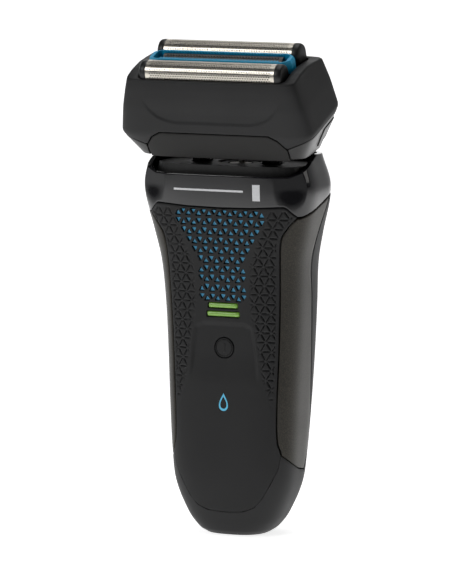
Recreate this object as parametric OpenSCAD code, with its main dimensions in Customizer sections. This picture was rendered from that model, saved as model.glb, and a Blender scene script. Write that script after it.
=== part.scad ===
// Foil shaver with a tilting head, two foils, an intercept trimmer between them and a pop-up
// trimmer at the back. Frame: +Z up the handle, front face towards -Y, origin at the centre of
// the flat base. The head is built in its own frame, whose +Z is the head's axis.

/* [Handle] */
// Height of the handle, base to shoulders
handle_h = 121.5; // [110:0.5:150]
// Width of the grip at mid height
grip_w = 45.4; // [42:0.1:58]
// Front face of the grip, forward of the base centre
grip_front = 13.6; // [13:0.1:17]
// Back face of the grip, behind the base centre
grip_back = 16.6; // [15:0.1:20]
// Width of the collar under the head
collar_w = 58.6; // [54:0.1:72]
// Front face of the collar, forward of the base centre
collar_front = 18.2; // [17:0.1:22]
// Back face of the collar, behind the base centre
collar_back = 14.2; // [13.5:0.1:18]
// Width of the flat base
base_w = 20; // [18:0.5:26]
// Depth of the flat base
base_d = 19; // [17:0.5:22]

/* [Walls] */
// Thickness of the rubber panel, grips and outer shells
skin_t = 1.7; // [1.4:0.1:2]
// Thickness of the inner front housing
housing_t = 1.3; // [1:0.1:1.6]
// Gap left at each seam between outer pieces
seam_gap = 0.24; // [0.1:0.02:0.4]

/* [Controls] */
// Height of the power button above the base
button_z = 61; // [56:0.5:66]
// Diameter of the power button
button_d = 6.2; // [5:0.1:8]
// Travel of the power button
button_travel = 0.7; // [0.4:0.1:1]
// Height of the lower light bar
led_z = 71.9; // [69:0.1:74]
// Width of the lower light bar
led_w = 11.4; // [8:0.1:13]
// Height of one light bar
led_h = 1.7; // [1.2:0.1:2]
// Distance between the two light bars
led_pitch = 2.75; // [2.5:0.05:3.5]

/* [Head] */
// Width of the head at its widest
head_w = 66.2; // [60:0.1:78]
// Height of the head frame above the head's lower centre
head_h = 29.3; // [28:0.1:33]
// Depth of the head at its rim
head_d = 25.6; // [25:0.1:30]
// Forward tilt of the head at rest
head_tilt = 21; // [17:0.5:24]
// Wall of the head shells
head_wall = 1.6; // [1.2:0.1:2]

/* [Foils] */
// Length of the perforated foil
foil_l = 44; // [38:0.5:46]
// Outer radius of the foil's arch
foil_r = 3.7; // [3.2:0.05:3.8]
// Distance between the two foils' centre lines
foil_pitch = 15.6; // [15.4:0.1:16.2]
// Thickness of the foil sheet
foil_t = 0.3; // [0.2:0.05:0.4]
// Length of each foil's end cap
cap_l = 2.5; // [2:0.1:4]
// Float of the foils and the intercept trimmer
foil_float = 1.5; // [1:0.1:1.8]

/* [Drive] */
// Diameter of the motor can
motor_d = 18; // [15:0.5:19]
// Length of the motor can
motor_l = 27; // [22:0.5:29]
// Offset of the eccentric pin from the motor shaft
eccentric_e = 1.2; // [0.8:0.1:1.4]
// Diameter of a battery cell
cell_d = 14.2; // [12:0.1:15]
// Length of a battery cell
cell_l = 49; // [40:0.5:50]
// Diameter of the tilt hinge pins
pivot_d = 2.4; // [2:0.1:3]

/* [Socket] */
// Distance between the two charging pins
pin_pitch = 6; // [5.4:0.1:6.4]
// Diameter of a charging pin
pin_d = 1.2; // [1:0.1:1.4]
// Width of the charging socket
socket_w = 12.4; // [12:0.1:14]
// Depth of the socket, front to back
socket_d = 6.6; // [6.2:0.1:8]

/* [Pop-up trimmer] */
// Width of the pop-up trimmer
popup_w = 27; // [22:0.5:28]
// Length of the pop-up trimmer
popup_l = 25; // [22:0.5:26]

/* [Hidden] */

$fn = 48;
eps = 0.01;
far = 80;
run_fit = 0.05;

// ---- Body surface: stations of [height, half width, front y, back y, roundness power] ----
base_flare = 2.2;
BODY = [
    [0, base_w / 2, -base_d / 2, base_d / 2, 2.6],
    [1.5, base_w / 2 + base_flare, -base_d / 2 - 1.5, base_d / 2 + 1, 2.8],
    [6, grip_w / 2 - 6.9, 1.6 - grip_front, grip_back - 5.6, 3],
    [16, grip_w / 2 - 2.7, 0.4 - grip_front, grip_back - 4.1, 3.3],
    [26, grip_w / 2 - 1.5, -grip_front, grip_back - 3, 3.5],
    [42, grip_w / 2 - 0.7, -grip_front, grip_back - 1.4, 3.8],
    [58, grip_w / 2, -grip_front, grip_back, 3.8],
    [74, grip_w / 2 + 0.7, -grip_front - 0.5, grip_back + 0.4, 3.8],
    [handle_h - 33.5, grip_w / 2 + 1.7, 2.9 - collar_front, collar_back + 1.6, 3.8],
    [handle_h - 23.5, collar_w / 2 - 2.8, 1.6 - collar_front, collar_back + 0.8, 3.8],
    [handle_h - 13.5, collar_w / 2 - 0.3, 0.4 - collar_front, collar_back + 0.3, 3.8],
    [handle_h - 7.5, collar_w / 2, -collar_front, collar_back, 3.8],
    [handle_h, collar_w / 2 - 1.8, -collar_front - 0.2, collar_back - 1.7, 3.6]];

// ---- Head surface, in the head's frame, with straight sides between stations ----
head_low = -6;
crease_z = 11.3;
HEAD = [
    [head_low, head_w / 2 - 9, 1.4 - head_d / 2, head_d / 2 - 0.6, 5],
    [3.5, head_w / 2 - 4.2, -head_d / 2 - 0.4, head_d / 2 + 0.7, 7],
    [crease_z, head_w / 2, -head_d / 2 - 2.2, head_d / 2 + 1.4, 10],
    [crease_z + 9, head_w / 2 - 1.7, -head_d / 2 - 1.4, head_d / 2 + 1, 12],
    [head_h - 2.5, head_w / 2 - 3.4, -head_d / 2 - 0.4, head_d / 2 + 0.4, 14],
    [head_h, head_w / 2 - 4.1, 0.2 - head_d / 2, head_d / 2 - 0.2, 14]];

function slope(tab, i, c) =
    let(a = max(i - 1, 0), b = min(i + 1, len(tab) - 1))
    (tab[b][c] - tab[a][c]) / (tab[b][0] - tab[a][0]);
function span(tab, z, i = 0) =
    i >= len(tab) - 2 || z <= tab[i + 1][0] ? i : span(tab, z, i + 1);
// Cubic through the stations, with each station's slope taken from its neighbours
function curved(tab, z, c) =
    let(i = span(tab, z), d = tab[i + 1][0] - tab[i][0], t = (z - tab[i][0]) / d,
        m0 = slope(tab, i, c) * d, m1 = slope(tab, i + 1, c) * d)
    (2 * t ^ 3 - 3 * t ^ 2 + 1) * tab[i][c] + (t ^ 3 - 2 * t ^ 2 + t) * m0
    + (3 * t ^ 2 - 2 * t ^ 3) * tab[i + 1][c] + (t ^ 3 - t ^ 2) * m1;
function straight(tab, z, c) =
    let(i = span(tab, z), t = (z - tab[i][0]) / (tab[i + 1][0] - tab[i][0]))
    tab[i][c] + t * (tab[i + 1][c] - tab[i][c]);
function power(v, n) = sign(v) * abs(v) ^ (2 / n);
// One rounded-box section of a table's surface, pulled in by an inset
function ring(st, z, inset, seg) =
    let(a = st[0] - inset, b = (st[2] - st[1]) / 2 - inset, yc = (st[1] + st[2]) / 2)
    [for (k = [0:seg - 1]) let(q = 360 * (k + 0.5) / seg)
        [a * power(cos(q), st[3]), yc + b * power(sin(q), st[3]), z]];
function body_at(z) = [for (c = [1:4]) curved(BODY, z, c)];
function head_at(z) = [for (c = [1:4]) straight(HEAD, z, c)];

module loft(rings) {
    seg = len(rings[0]);
    rows = len(rings);
    polyhedron(
        points = [for (r = rings) each r],
        faces = concat(
            [[for (k = [0:seg - 1]) k]],
            [for (i = [0:rows - 2], k = [0:seg - 1])
                let(a = i * seg + k, b = i * seg + (k + 1) % seg) [a, a + seg, b]],
            [for (i = [0:rows - 2], k = [0:seg - 1])
                let(a = i * seg + k, b = i * seg + (k + 1) % seg) [b, a + seg, b + seg]],
            [[for (k = [seg - 1:-1:0]) (rows - 1) * seg + k]]));
}

// Rows stand at the same heights in every shell, so that neighbours' facets meet
rows_per_station = 2;
body_seg = 44;
ROW_Z = concat(
    [for (i = [0:len(BODY) - 2], k = [0:rows_per_station - 1])
        BODY[i][0] + (BODY[i + 1][0] - BODY[i][0]) * k / rows_per_station],
    [handle_h]);
function body_row_z(lo, hi) =
    concat([lo], [for (z = ROW_Z) if (z > lo + eps && z < hi - eps) z], [hi]);

module body_solid(inset = 0, lo = 0, hi = handle_h) {
    loft([for (z = body_row_z(lo, hi)) ring(body_at(z), z, inset, body_seg)]);
}

head_seg = 44;
function head_rows(lo, hi) = concat([lo],
    [for (st = HEAD) if (st[0] > lo + 0.1 && st[0] < hi - 0.1) st[0]], [hi]);

module head_solid(inset = 0, lo = head_low, hi = head_h) {
    loft([for (z = head_rows(lo, hi)) ring(head_at(z), z, inset, head_seg)]);
}

// Keeps a shell that is cut from smooth surfaces as one body of facets
module as_one_shell() {
    resize([0, 0, 0]) children();
}

module body_skin(outer, inner) {
    difference() {
        body_solid(outer);
        body_solid(inner, inner, handle_h + 5);
    }
}

// ---- Outlines: [x, z] from the front, [y, z] from the side ----
panel_top = handle_h - 14.7;
panel_corner = [25.3, panel_top - 3];
PANEL_SIDE = [
    [0, 7.8], [6, 8.2], [10.1, 9.9], [12.8, 13.1], [15.6, 18.1], [17.9, 23.4], [18.5, 27],
    [17.6, 31], [17.4, 36], [18.2, button_z - 1], [18.9, button_z + 18],
    [19.5, panel_top - 14.5], [20.2, panel_top - 10], [22.3, panel_top - 6.5],
    panel_corner, [21.8, panel_top + 0.3], [0, panel_top - 0.6]];
grip_split = [[0.8, panel_top - 17], [3.6, button_z + 15], [6, button_z - 11], [8, 30]];
grip_crown = [[-far, panel_corner[1] - 2.4], [-12, panel_corner[1]], [4.6, panel_top + 2.7]];
GRIP_SIDE = concat(
    grip_crown,
    grip_split,
    [[5, 22.5], [-4, 21.5], [-9, 25], [-13, 29.3], [-far, 29.5]]);
collar_foot = concat(grip_crown, [[7, panel_top + 3.6], [far, panel_top + 3.6]]);
COLLAR_SIDE = concat(
    collar_foot,
    [[far, handle_h - 0.5], [-7, handle_h - 0.5], [-16, handle_h - 4.6],
        [-far, handle_h - 4.6]]);
ABOVE_FOOT = concat(collar_foot, [[far, handle_h + 9], [-far, handle_h + 9]]);

module from_front(outline, grow = 0, y0 = -far, y1 = 0) {
    translate([0, y1, 0])
    rotate([90, 0, 0])
    linear_extrude(y1 - y0)
    offset(delta = grow)
    union() {
        polygon(outline);
        mirror([1, 0]) polygon(outline);
    }
}

module from_side(outline, grow = 0) {
    rotate([90, 0, 90])
    translate([0, 0, -far])
    linear_extrude(2 * far)
    offset(delta = grow)
    polygon(outline);
}

module half_space(side) {
    translate([side > 0 ? 0 : -far, -far, -far]) cube([far, 2 * far, 3 * far]);
}

// ---- Placing on the handle's front, at the depth of the skin there ----
function front_y(z) = body_at(z)[1];
function back_y(z) = body_at(z)[2];
module facing_front(z, depth = 0) {
    translate([0, front_y(z) + depth, z]) rotate([-90, 0, 0]) children();
}
module box(size, at) {
    translate(at) translate(-size / 2) cube(size);
}

// ---- Where the inner parts sit ----
inner = skin_t + housing_t;
board_y = front_y(button_z) + inner + 0.75;
board_t = 1;
board_w = 21;
cell_z = 12;
cell_y = 0.6;
cell_gap = 0.6;
shaft_y = 0.5;
motor_top = handle_h - 23.5;
motor_z = motor_top - motor_l;
deck_z = handle_h - 7.5;
deck_t = 2;
deck_play = 0.12;
shaft_d = 2;
disc_d = 7;
disc_t = 2.5;
disc_z = deck_z + deck_t + 0.6;
drive_pin_d = 2;

// ---- The head's frame ----
head_origin = [0, -3.5, handle_h + 2.5];
pivot_drop = 4;
module in_head() {
    translate(head_origin) rotate([head_tilt, 0, 0]) children();
}
pivot_y = head_origin[1] + pivot_drop * sin(head_tilt);
pivot_z = head_origin[2] - pivot_drop * cos(head_tilt);
drive_pin_top = pivot_z + 12.5;

module front_housing() {
    color("dimgray")
    as_one_shell()
    difference() {
        intersection() {
            body_skin(skin_t, inner);
            from_side([[-far, 4], [0.5, 4], [0.5, deck_z - 0.2], [-far, deck_z - 0.2]]);
        }
        facing_front(button_z, -1) cylinder(d = button_d + 1.6, h = 8);
        for (k = [0, 1])
            box([led_w, 8, led_h], [0, front_y(led_z) + 3, led_z + k * led_pitch]);
        inlay_block(0);
        box([socket_w + 5, socket_d + 5, 12], [0, 0, 4]);
    }
}

module rear_shell() {
    color("black")
    as_one_shell()
    difference() {
        body_skin(0, skin_t);
        from_front(PANEL_SIDE, seam_gap / 2);
        from_side(GRIP_SIDE, seam_gap / 2);
        from_side(ABOVE_FOOT, seam_gap / 2);
        popup_space();
        popup_hinge() pivot_hole(popup_w + 6);
        latch_slot();
        linear_extrude(6, center = true)
        rounded_slot(socket_w + 2 * socket_wall + 0.3, socket_d + 2 * socket_wall + 0.3);
        screw_places() cylinder(d = screw_head_d + 0.4, h = 6, center = true);
    }
}

inlay_z = panel_top - 16;
inlay_h = 29;
inlay_w = 15;
module inlay_block(play) {
    box([2 * inlay_w - play, 30, inlay_h - play], [0, -20, inlay_z]);
}

module front_grip_panel() {
    color([0.17, 0.17, 0.18])
    as_one_shell()
    difference() {
        intersection() {
            body_skin(0, skin_t);
            from_front(PANEL_SIDE, -seam_gap / 2);
        }
        facing_front(button_z, -3) cylinder(d = button_d + 0.5, h = 9);
        box([led_w + 0.1, 9, led_h + 0.1], [0, front_y(led_z), led_z]);
        box([led_w - 1.1, 9, led_h + 0.1], [0, front_y(led_z), led_z + led_pitch]);
    }
}

module blue_inlay() {
    color([0.2, 0.5, 0.65])
    as_one_shell()
    intersection() {
        body_skin(skin_t, skin_t + 1);
        inlay_block(0.3);
    }
}

module side_grip(side) {
    color([0.36, 0.34, 0.31])
    as_one_shell()
    difference() {
        intersection() {
            body_skin(0, skin_t);
            from_side(GRIP_SIDE, -seam_gap / 2);
            half_space(side);
        }
        from_front(PANEL_SIDE, seam_gap / 2);
    }
}
module side_grip_left() {
    side_grip(-1);
}
module side_grip_right() {
    side_grip(1);
}

module top_collar() {
    color([0.1, 0.1, 0.12])
    as_one_shell()
    difference() {
        intersection() {
            body_skin(0, skin_t);
            from_side(COLLAR_SIDE, -seam_gap / 2);
        }
        from_front(PANEL_SIDE, seam_gap / 2);
    }
}

// The deck carries a raised block with a well for the boot and a pocket round each hinge lug
neck_inset = 3.2;
neck_top = handle_h - 1.9;
module neck_deck() {
    color([0.12, 0.12, 0.12])
    difference() {
        as_one_shell()
        union() {
            body_solid(skin_t + deck_play, deck_z, deck_z + deck_t);
            body_solid(neck_inset, deck_z + deck_t / 2, neck_top);
        }
        translate([0, shaft_y, deck_z - 1]) cylinder(d = disc_d + 1.4, h = deck_t + 2);
        translate([0, shaft_y, deck_z + deck_t]) cylinder(d = boot_d + 0.6, h = 9);
        for (side = [-1, 1])
            box([pin_l + 0.6, 2 * lug_r + 1.2, 9],
                [side * (yoke_x + lug_x) / 2, pivot_y, deck_z + deck_t + 4.5]);
    }
}

boot_d = 14;
module neck_boot() {
    color([0.06, 0.06, 0.06])
    translate([0, shaft_y, deck_z + deck_t])
    rotate_extrude()
    polygon([[disc_d / 2 + 0.8, 0], [boot_d / 2, 0], [boot_d / 2, 0.8], [boot_d / 2 - 1, 1.4],
        [boot_d / 2 - 0.3, 2], [boot_d / 2 - 1.2, 2.6], [boot_d / 2 - 1, 3.2],
        [disc_d / 2 + 0.8, 3.2]]);
}

yoke_x = 13.4;
yoke_t = 2.4;
lug_gap = 0.3;
lug_t = 2.4;
lug_x = yoke_x - yoke_t / 2 - lug_gap - lug_t / 2;
lug_r = 2.3;
pin_proud = 0.4;
pin_l = yoke_t + lug_gap + lug_t + 2 * pin_proud;
module pivot_bore(l) {
    rotate([0, 90, 0]) cylinder(d = pivot_d + 2 * run_fit, h = l, center = true);
}
module tilt_yoke() {
    color([0.2, 0.2, 0.21])
    for (side = [-1, 1])
        translate([side * yoke_x, pivot_y, pivot_z])
        difference() {
            union() {
                rotate([0, 90, 0]) cylinder(r = lug_r, h = yoke_t, center = true);
                box([yoke_t, 2 * lug_r, pivot_z - deck_z - deck_t],
                    [0, 0, -(pivot_z - deck_z - deck_t) / 2]);
            }
            rotate([0, 90, 0]) cylinder(d = pivot_d, h = 9, center = true);
        }
}
module tilt_pins() {
    color("silver")
    for (side = [-1, 1])
        translate([side * (yoke_x + lug_x) / 2, pivot_y, pivot_z])
        rotate([0, 90, 0])
        cylinder(d = pivot_d, h = pin_l, center = true);
}

lens_deep = 3.1;
module led_lens(z, w) {
    color([0.5, 0.75, 0.25])
    box([w - 0.3, lens_deep, led_h - 0.2], [0, front_y(z) + lens_deep / 2, z]);
}
module led_lens_lower() {
    led_lens(led_z, led_w);
}
module led_lens_upper() {
    led_lens(led_z + led_pitch, led_w - 1.2);
}

chip_t = 0.8;
module led_chips() {
    color("white")
    for (k = [0, 1])
        box([3, chip_t, 1.4], [0, board_y - chip_t / 2, led_z + k * led_pitch]);
}

switch_t = 1.1;
button_stem = board_y - front_y(button_z) - switch_t - button_travel - 0.1;
button_head_t = 1.6;
module power_button() {
    color([0.15, 0.15, 0.16])
    facing_front(button_z)
    union() {
        cylinder(d = button_d, h = button_head_t);
        cylinder(d = 2, h = button_stem);
    }
}
module button_spring() {
    color("silver")
    facing_front(button_z, button_head_t + 0.05)
    coil(1.7, 0.25, board_y - front_y(button_z) - button_head_t - 0.35, 3);
}
module button_switch() {
    color([0.3, 0.3, 0.3])
    box([2, switch_t, 2], [0, board_y - switch_t / 2, button_z]);
}

module circuit_board() {
    color("darkgreen")
    translate([-board_w / 2, board_y, 36]) cube([board_w, board_t, motor_top - 40]);
}

spine_t = 0.9;
spine_y = cell_y + cell_d / 2 + 0.4;
rib_t = 1.6;
rib_low = cell_z - 0.95 - rib_t;
module chassis() {
    color([0.75, 0.75, 0.72])
    union() {
        translate([-10, spine_y, rib_low]) cube([20, spine_t, motor_z - 0.6 - rib_low]);
        for (z = [rib_low, cell_z + cell_l + 2.6])
            translate([-10, cell_y - cell_d / 2, z])
            cube([20, spine_y + spine_t - cell_y + cell_d / 2, rib_t]);
    }
}

module battery_cell(side) {
    color([0.25, 0.45, 0.3])
    translate([side * (cell_d + cell_gap) / 2, cell_y, cell_z])
    union() {
        cylinder(d = cell_d, h = cell_l);
        translate([0, 0, cell_l - eps]) cylinder(d = 5, h = 1);
    }
}
module battery_cell_left() {
    battery_cell(-1);
}
module battery_cell_right() {
    battery_cell(1);
}
module battery_contacts() {
    color("silver")
    union() {
        box([22, 8, 0.5], [0, cell_y, cell_z - 0.4]);
        for (side = [-1, 1])
            box([8, 8, 0.5], [side * (cell_d + cell_gap) / 2, cell_y, cell_z + cell_l + 1.4]);
    }
}

module motor() {
    color("silver")
    translate([0, shaft_y, motor_z])
    difference() {
        union() {
            cylinder(d = motor_d, h = motor_l);
            translate([0, 0, motor_l - eps]) cylinder(d = 6, h = 1.6);
            translate([0, 0, -1.2]) cylinder(d = 5, h = 1.3);
        }
        translate([0, 0, motor_l - 6]) cylinder(d = shaft_d + 2 * run_fit, h = 9);
    }
}
clamp_t = 1.8;
module motor_clamp() {
    color([0.3, 0.3, 0.3])
    difference() {
        union() {
            translate([0, shaft_y, motor_top + 0.1]) cylinder(d = motor_d - 1, h = clamp_t);
            for (side = [-1, 1])
                translate([side * 11.5, shaft_y, motor_top + 0.1])
                cylinder(d = 4, h = deck_z - motor_top - 0.1);
            box([26, 5, clamp_t], [0, shaft_y, motor_top + 0.1 + clamp_t / 2]);
        }
        translate([0, shaft_y, motor_top - 1]) cylinder(d = 6.2, h = 8);
    }
}
module drive_eccentric() {
    color([0.7, 0.7, 0.72])
    translate([0, shaft_y, 0])
    union() {
        translate([0, 0, motor_top - 5]) cylinder(d = shaft_d, h = disc_z - motor_top + 6);
        translate([0, 0, disc_z]) cylinder(d = disc_d, h = disc_t);
        translate([0, eccentric_e, disc_z + disc_t - eps])
        cylinder(d = drive_pin_d, h = drive_pin_top - disc_z - disc_t);
    }
}

// ---- Charging socket in the base ----
socket_depth = 5.4;
pin_tip_z = 0.6;
pin_shank = pin_d + 0.7;
socket_wall = 1.2;
module rounded_slot(w, d) {
    square([w - d, d], center = true);
    for (side = [-1, 1])
        translate([side * (w - d) / 2, 0]) circle(d = d);
}
module socket_housing() {
    color([0.1, 0.1, 0.1])
    difference() {
        linear_extrude(socket_depth + socket_wall)
        rounded_slot(socket_w + 2 * socket_wall, socket_d + 2 * socket_wall);
        translate([0, 0, -eps]) linear_extrude(socket_depth) rounded_slot(socket_w, socket_d);
        for (side = [-1, 1])
            translate([side * pin_pitch / 2, 0, socket_depth - 1]) cylinder(d = pin_shank, h = 4);
    }
}
// Each pin is a stud in the recess and a thicker shank through the socket's end wall
module charge_pins() {
    color("gold")
    for (side = [-1, 1])
        translate([side * pin_pitch / 2, 0, 0])
        union() {
            translate([0, 0, pin_tip_z]) cylinder(d = pin_d, h = socket_depth - pin_tip_z);
            translate([0, 0, socket_depth - 0.15]) cylinder(d = pin_shank, h = 2.8);
        }
}
module socket_gasket() {
    color([0.05, 0.05, 0.05])
    translate([0, 0, socket_depth + socket_wall])
    linear_extrude(0.8)
    difference() {
        rounded_slot(socket_w + 1.6, socket_d + 1.6);
        rounded_slot(pin_pitch + 4, socket_d - 2);
    }
}

screw_head_d = 4.2;
module screw_places() {
    for (side = [-1, 1])
        translate([side * 11.5, back_y(20) - 1, 20]) rotate([-90, 0, 0]) children();
}
module case_screws() {
    color("silver")
    screw_places()
    difference() {
        translate([0, 0, -5])
        union() {
            cylinder(d = 1.8, h = 5);
            translate([0, 0, 4]) cylinder(d = screw_head_d, h = 1.4);
        }
        box([2.6, 0.6, 1], [0, 0, 0.5]);
        box([0.6, 2.6, 1], [0, 0, 0.5]);
    }
}

// ---- Pop-up trimmer at the back ----
popup_hinge_z = 77.5;
popup_hinge_y = back_y(popup_hinge_z) - 2.9;
popup_root = 2.9;
popup_top = popup_hinge_z + popup_l;
popup_deep = 3.9;
popup_pin_d = 1.6;
bay_t = 0.9;
bay_y = back_y(popup_hinge_z) - popup_deep - 2.3;
module popup_space(grow = 0.3) {
    lo = popup_hinge_z - popup_root - grow;
    translate([-popup_w / 2 - grow, bay_y, lo])
    cube([popup_w + 2 * grow, far, popup_top + grow - lo]);
}
module popup_hinge() {
    translate([0, popup_hinge_y, popup_hinge_z]) children();
}
module trimmer_bay() {
    color([0.1, 0.1, 0.1])
    as_one_shell()
    difference() {
        intersection() {
            body_solid(skin_t);
            translate([0, 0, -0.15])
            thickened(bay_t) popup_space(0.45);
        }
        popup_space(0.45);
        popup_hinge() pivot_hole(popup_w + 6);
    }
}
module thickened(t) {
    minkowski() {
        children();
        cube([2 * t, 2 * t, 2 * t], center = true);
    }
}
module pivot_hole(l) {
    rotate([0, 90, 0]) cylinder(d = popup_pin_d + 2 * run_fit, h = l, center = true);
}
comb_z = popup_top - 7.5;
module popup_arm() {
    color([0.12, 0.12, 0.13])
    as_one_shell()
    difference() {
        intersection() {
            body_skin(0, popup_deep);
            union() {
                translate([-popup_w / 2, bay_y + 0.3, popup_hinge_z])
                cube([popup_w, far, popup_top - popup_hinge_z]);
                popup_hinge()
                rotate([0, 90, 0]) cylinder(r = popup_root, h = popup_w, center = true);
            }
        }
        popup_hinge() pivot_hole(popup_w + 6);
        translate([-popup_w / 2 + 1, back_y(comb_z) - far - 1.4, comb_z])
        cube([popup_w - 2, far, far]);
    }
}
tooth_pitch = 1.5;
module tooth_row(w, at, tooth) {
    count = floor((w / 2 - tooth[0]) / tooth_pitch);
    for (k = [-count:count])
        box(tooth, at + [k * tooth_pitch, 0, 0]);
}
comb_t = 0.8;
comb_y = min(back_y(comb_z), back_y(popup_top)) - 2.6;
module popup_comb() {
    color("silver")
    union() {
        box([popup_w - 2.4, comb_t, 5], [0, comb_y, comb_z + 3.2]);
        tooth_row(popup_w - 3, [0, comb_y, popup_top - 1.2], [0.7, comb_t, 1.8]);
    }
}
module popup_cutter() {
    color([0.5, 0.5, 0.52])
    union() {
        box([popup_w - 6, comb_t, 3.6], [0, comb_y - comb_t - 0.12, comb_z + 3.4]);
        tooth_row(popup_w - 6.5, [0, comb_y - comb_t - 0.12, popup_top - 1.7],
            [0.7, comb_t, 1.4]);
    }
}
module popup_pin() {
    color("silver")
    popup_hinge()
    rotate([0, 90, 0]) cylinder(d = popup_pin_d, h = popup_w + 1.6, center = true);
}

latch_w = 12;
latch_h = 8;
latch_travel = 3;
latch_z = popup_hinge_z - popup_root - 4.5 - latch_h / 2 - latch_travel;
module latch_slot() {
    box([latch_w - 4, 20, latch_h - 4 + latch_travel],
        [0, back_y(latch_z), latch_z + latch_travel / 2]);
}
module popup_latch() {
    y = max(back_y(latch_z - latch_h), back_y(latch_z + latch_h)) + 0.25;
    color([0.12, 0.12, 0.13])
    union() {
        box([latch_w, 1.6, latch_h], [0, y + 0.8, latch_z]);
        box([latch_w - 4.6, 4, latch_h - 4.6], [0, y - 1.5, latch_z]);
        for (k = [-1:1])
            box([latch_w - 3, 0.6, 0.7], [0, y + 1.8, latch_z + 2 * k]);
    }
}

// ---- Helical springs: a round wire carried round and up ----
module coil(r, wire, h, turns) {
    steps = 12;
    sides = 6;
    n = turns * steps;
    sweep([for (i = [0:n]) let(q = 360 * i / steps)
        [r * cos(q), r * sin(q), wire + (h - 2 * wire) * i / n]], wire, sides);
}
module sweep(path, wire, sides) {
    n = len(path) - 1;
    points = [for (i = [0:n], k = [0:sides - 1])
        let(p = path[i], out = [p[0], p[1], 0] / norm([p[0], p[1]]), q = 360 * k / sides)
        p + wire * (cos(q) * out + sin(q) * [0, 0, 1])];
    polyhedron(points = points, faces = concat(
        [[for (k = [sides - 1:-1:0]) k]],
        [for (i = [0:n - 1], k = [0:sides - 1])
            let(a = i * sides + k, b = i * sides + (k + 1) % sides) [a, b, a + sides]],
        [for (i = [0:n - 1], k = [0:sides - 1])
            let(a = i * sides + k, b = i * sides + (k + 1) % sides) [b, b + sides, a + sides]],
        [[for (k = [0:sides - 1]) n * sides + k]]));
}

// ---- Head, in the head's frame ----
floor_slope = -0.27;
floor_z = -0.7;
seam_z = 8.6;
SHIELD = [[24.6, -9], [24.2, 2], [23.8, 7.4], [21.6, 10.6], [18.7, 12.2], [0, 12.2], [0, -9]];
module above_floor(up = 0) {
    from_side([[-30, floor_z + up - 30 * floor_slope], [30, floor_z + up + 30 * floor_slope],
        [30, 60], [-30, 60]]);
}
module head_skin(outer, inner) {
    difference() {
        head_solid(outer);
        head_solid(inner, head_low, head_h + 1);
    }
}
window_corner = 1;
window_deep = 11;
window_x = foil_l / 2 + cap_l + 0.7;
window_y = foil_pitch / 2 + foil_r + 0.35;

bracket_z = 5;
bracket_t = 1.6;
bracket_w = 38;
bracket_y0 = -9.5;
bracket_y1 = 9.5;
fork_clear = 6.8;
module tilt_bracket() {
    color([0.22, 0.22, 0.23])
    in_head()
    difference() {
        union() {
            translate([-bracket_w / 2, bracket_y0, bracket_z])
            cube([bracket_w, bracket_y1 - bracket_y0, bracket_t]);
            for (side = [-1, 1])
                translate([side * lug_x, 0, -pivot_drop]) {
                    rotate([0, 90, 0]) cylinder(r = lug_r, h = lug_t, center = true);
                    box([lug_t, 2 * lug_r, pivot_drop + bracket_z + 0.4],
                        [0, 0, (pivot_drop + bracket_z + 0.4) / 2]);
                }
        }
        for (side = [-1, 1])
            translate([side * lug_x, 0, -pivot_drop]) pivot_bore(lug_t + 1);
        translate([-fork_clear, -1.5, bracket_z - 1]) cube([2 * fork_clear, 20, 4]);
    }
}

release_y = [1, 10];
release_z = [1.6, 7.6];
module release_window(grow) {
    translate([-far, release_y[0] - grow, release_z[0] - grow])
    cube([2 * far, release_y[1] - release_y[0] + 2 * grow,
        release_z[1] - release_z[0] + 2 * grow]);
}
module head_base() {
    color([0.07, 0.07, 0.08])
    in_head()
    as_one_shell()
    difference() {
        intersection() {
            union() {
                difference() {
                    head_solid(0, head_low, seam_z - seam_gap / 2);
                    intersection() {
                        head_solid(head_wall, head_low, seam_z + 3);
                        above_floor(head_wall);
                    }
                }
                for (sx = [-1, 1], sy = [-1, 1])
                    translate([sx * 16.6, sy * 7, -8]) cylinder(d = 3.4, h = bracket_z + 8, $fn = 16);
            }
            above_floor();
        }
        from_front(SHIELD, seam_gap / 2, -far, -6);
        release_window(0.25);
        box([2 * (lug_x + lug_t / 2 + 1), 22, 20], [0, 0.5, -4]);
    }
}
module thumb_panel() {
    color([0.17, 0.16, 0.16])
    in_head()
    as_one_shell()
    intersection() {
        head_skin(0, head_wall);
        from_front(SHIELD, -seam_gap / 2, -far, -6.2);
        above_floor(0.05);
    }
}
module release_button(side) {
    color([0.05, 0.05, 0.05])
    in_head()
    as_one_shell()
    intersection() {
        head_skin(-0.35, head_wall + 0.6);
        release_window(0);
        half_space(side);
    }
}
module release_button_left() {
    release_button(-1);
}
module release_button_right() {
    release_button(1);
}
spring_z = (release_z[0] + release_z[1]) / 2;
spring_y = (release_y[0] + release_y[1]) / 2;
spring_out = head_at(release_z[0])[0] - head_wall - 1.6;
module release_springs() {
    color("silver")
    in_head()
    for (side = [-1, 1])
        translate([side * (bracket_w / 2 + 1.2), spring_y, spring_z])
        rotate([0, side * 90, 0])
        coil(1.5, 0.25, spring_out - bracket_w / 2 - 1.2, 4);
}

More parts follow.
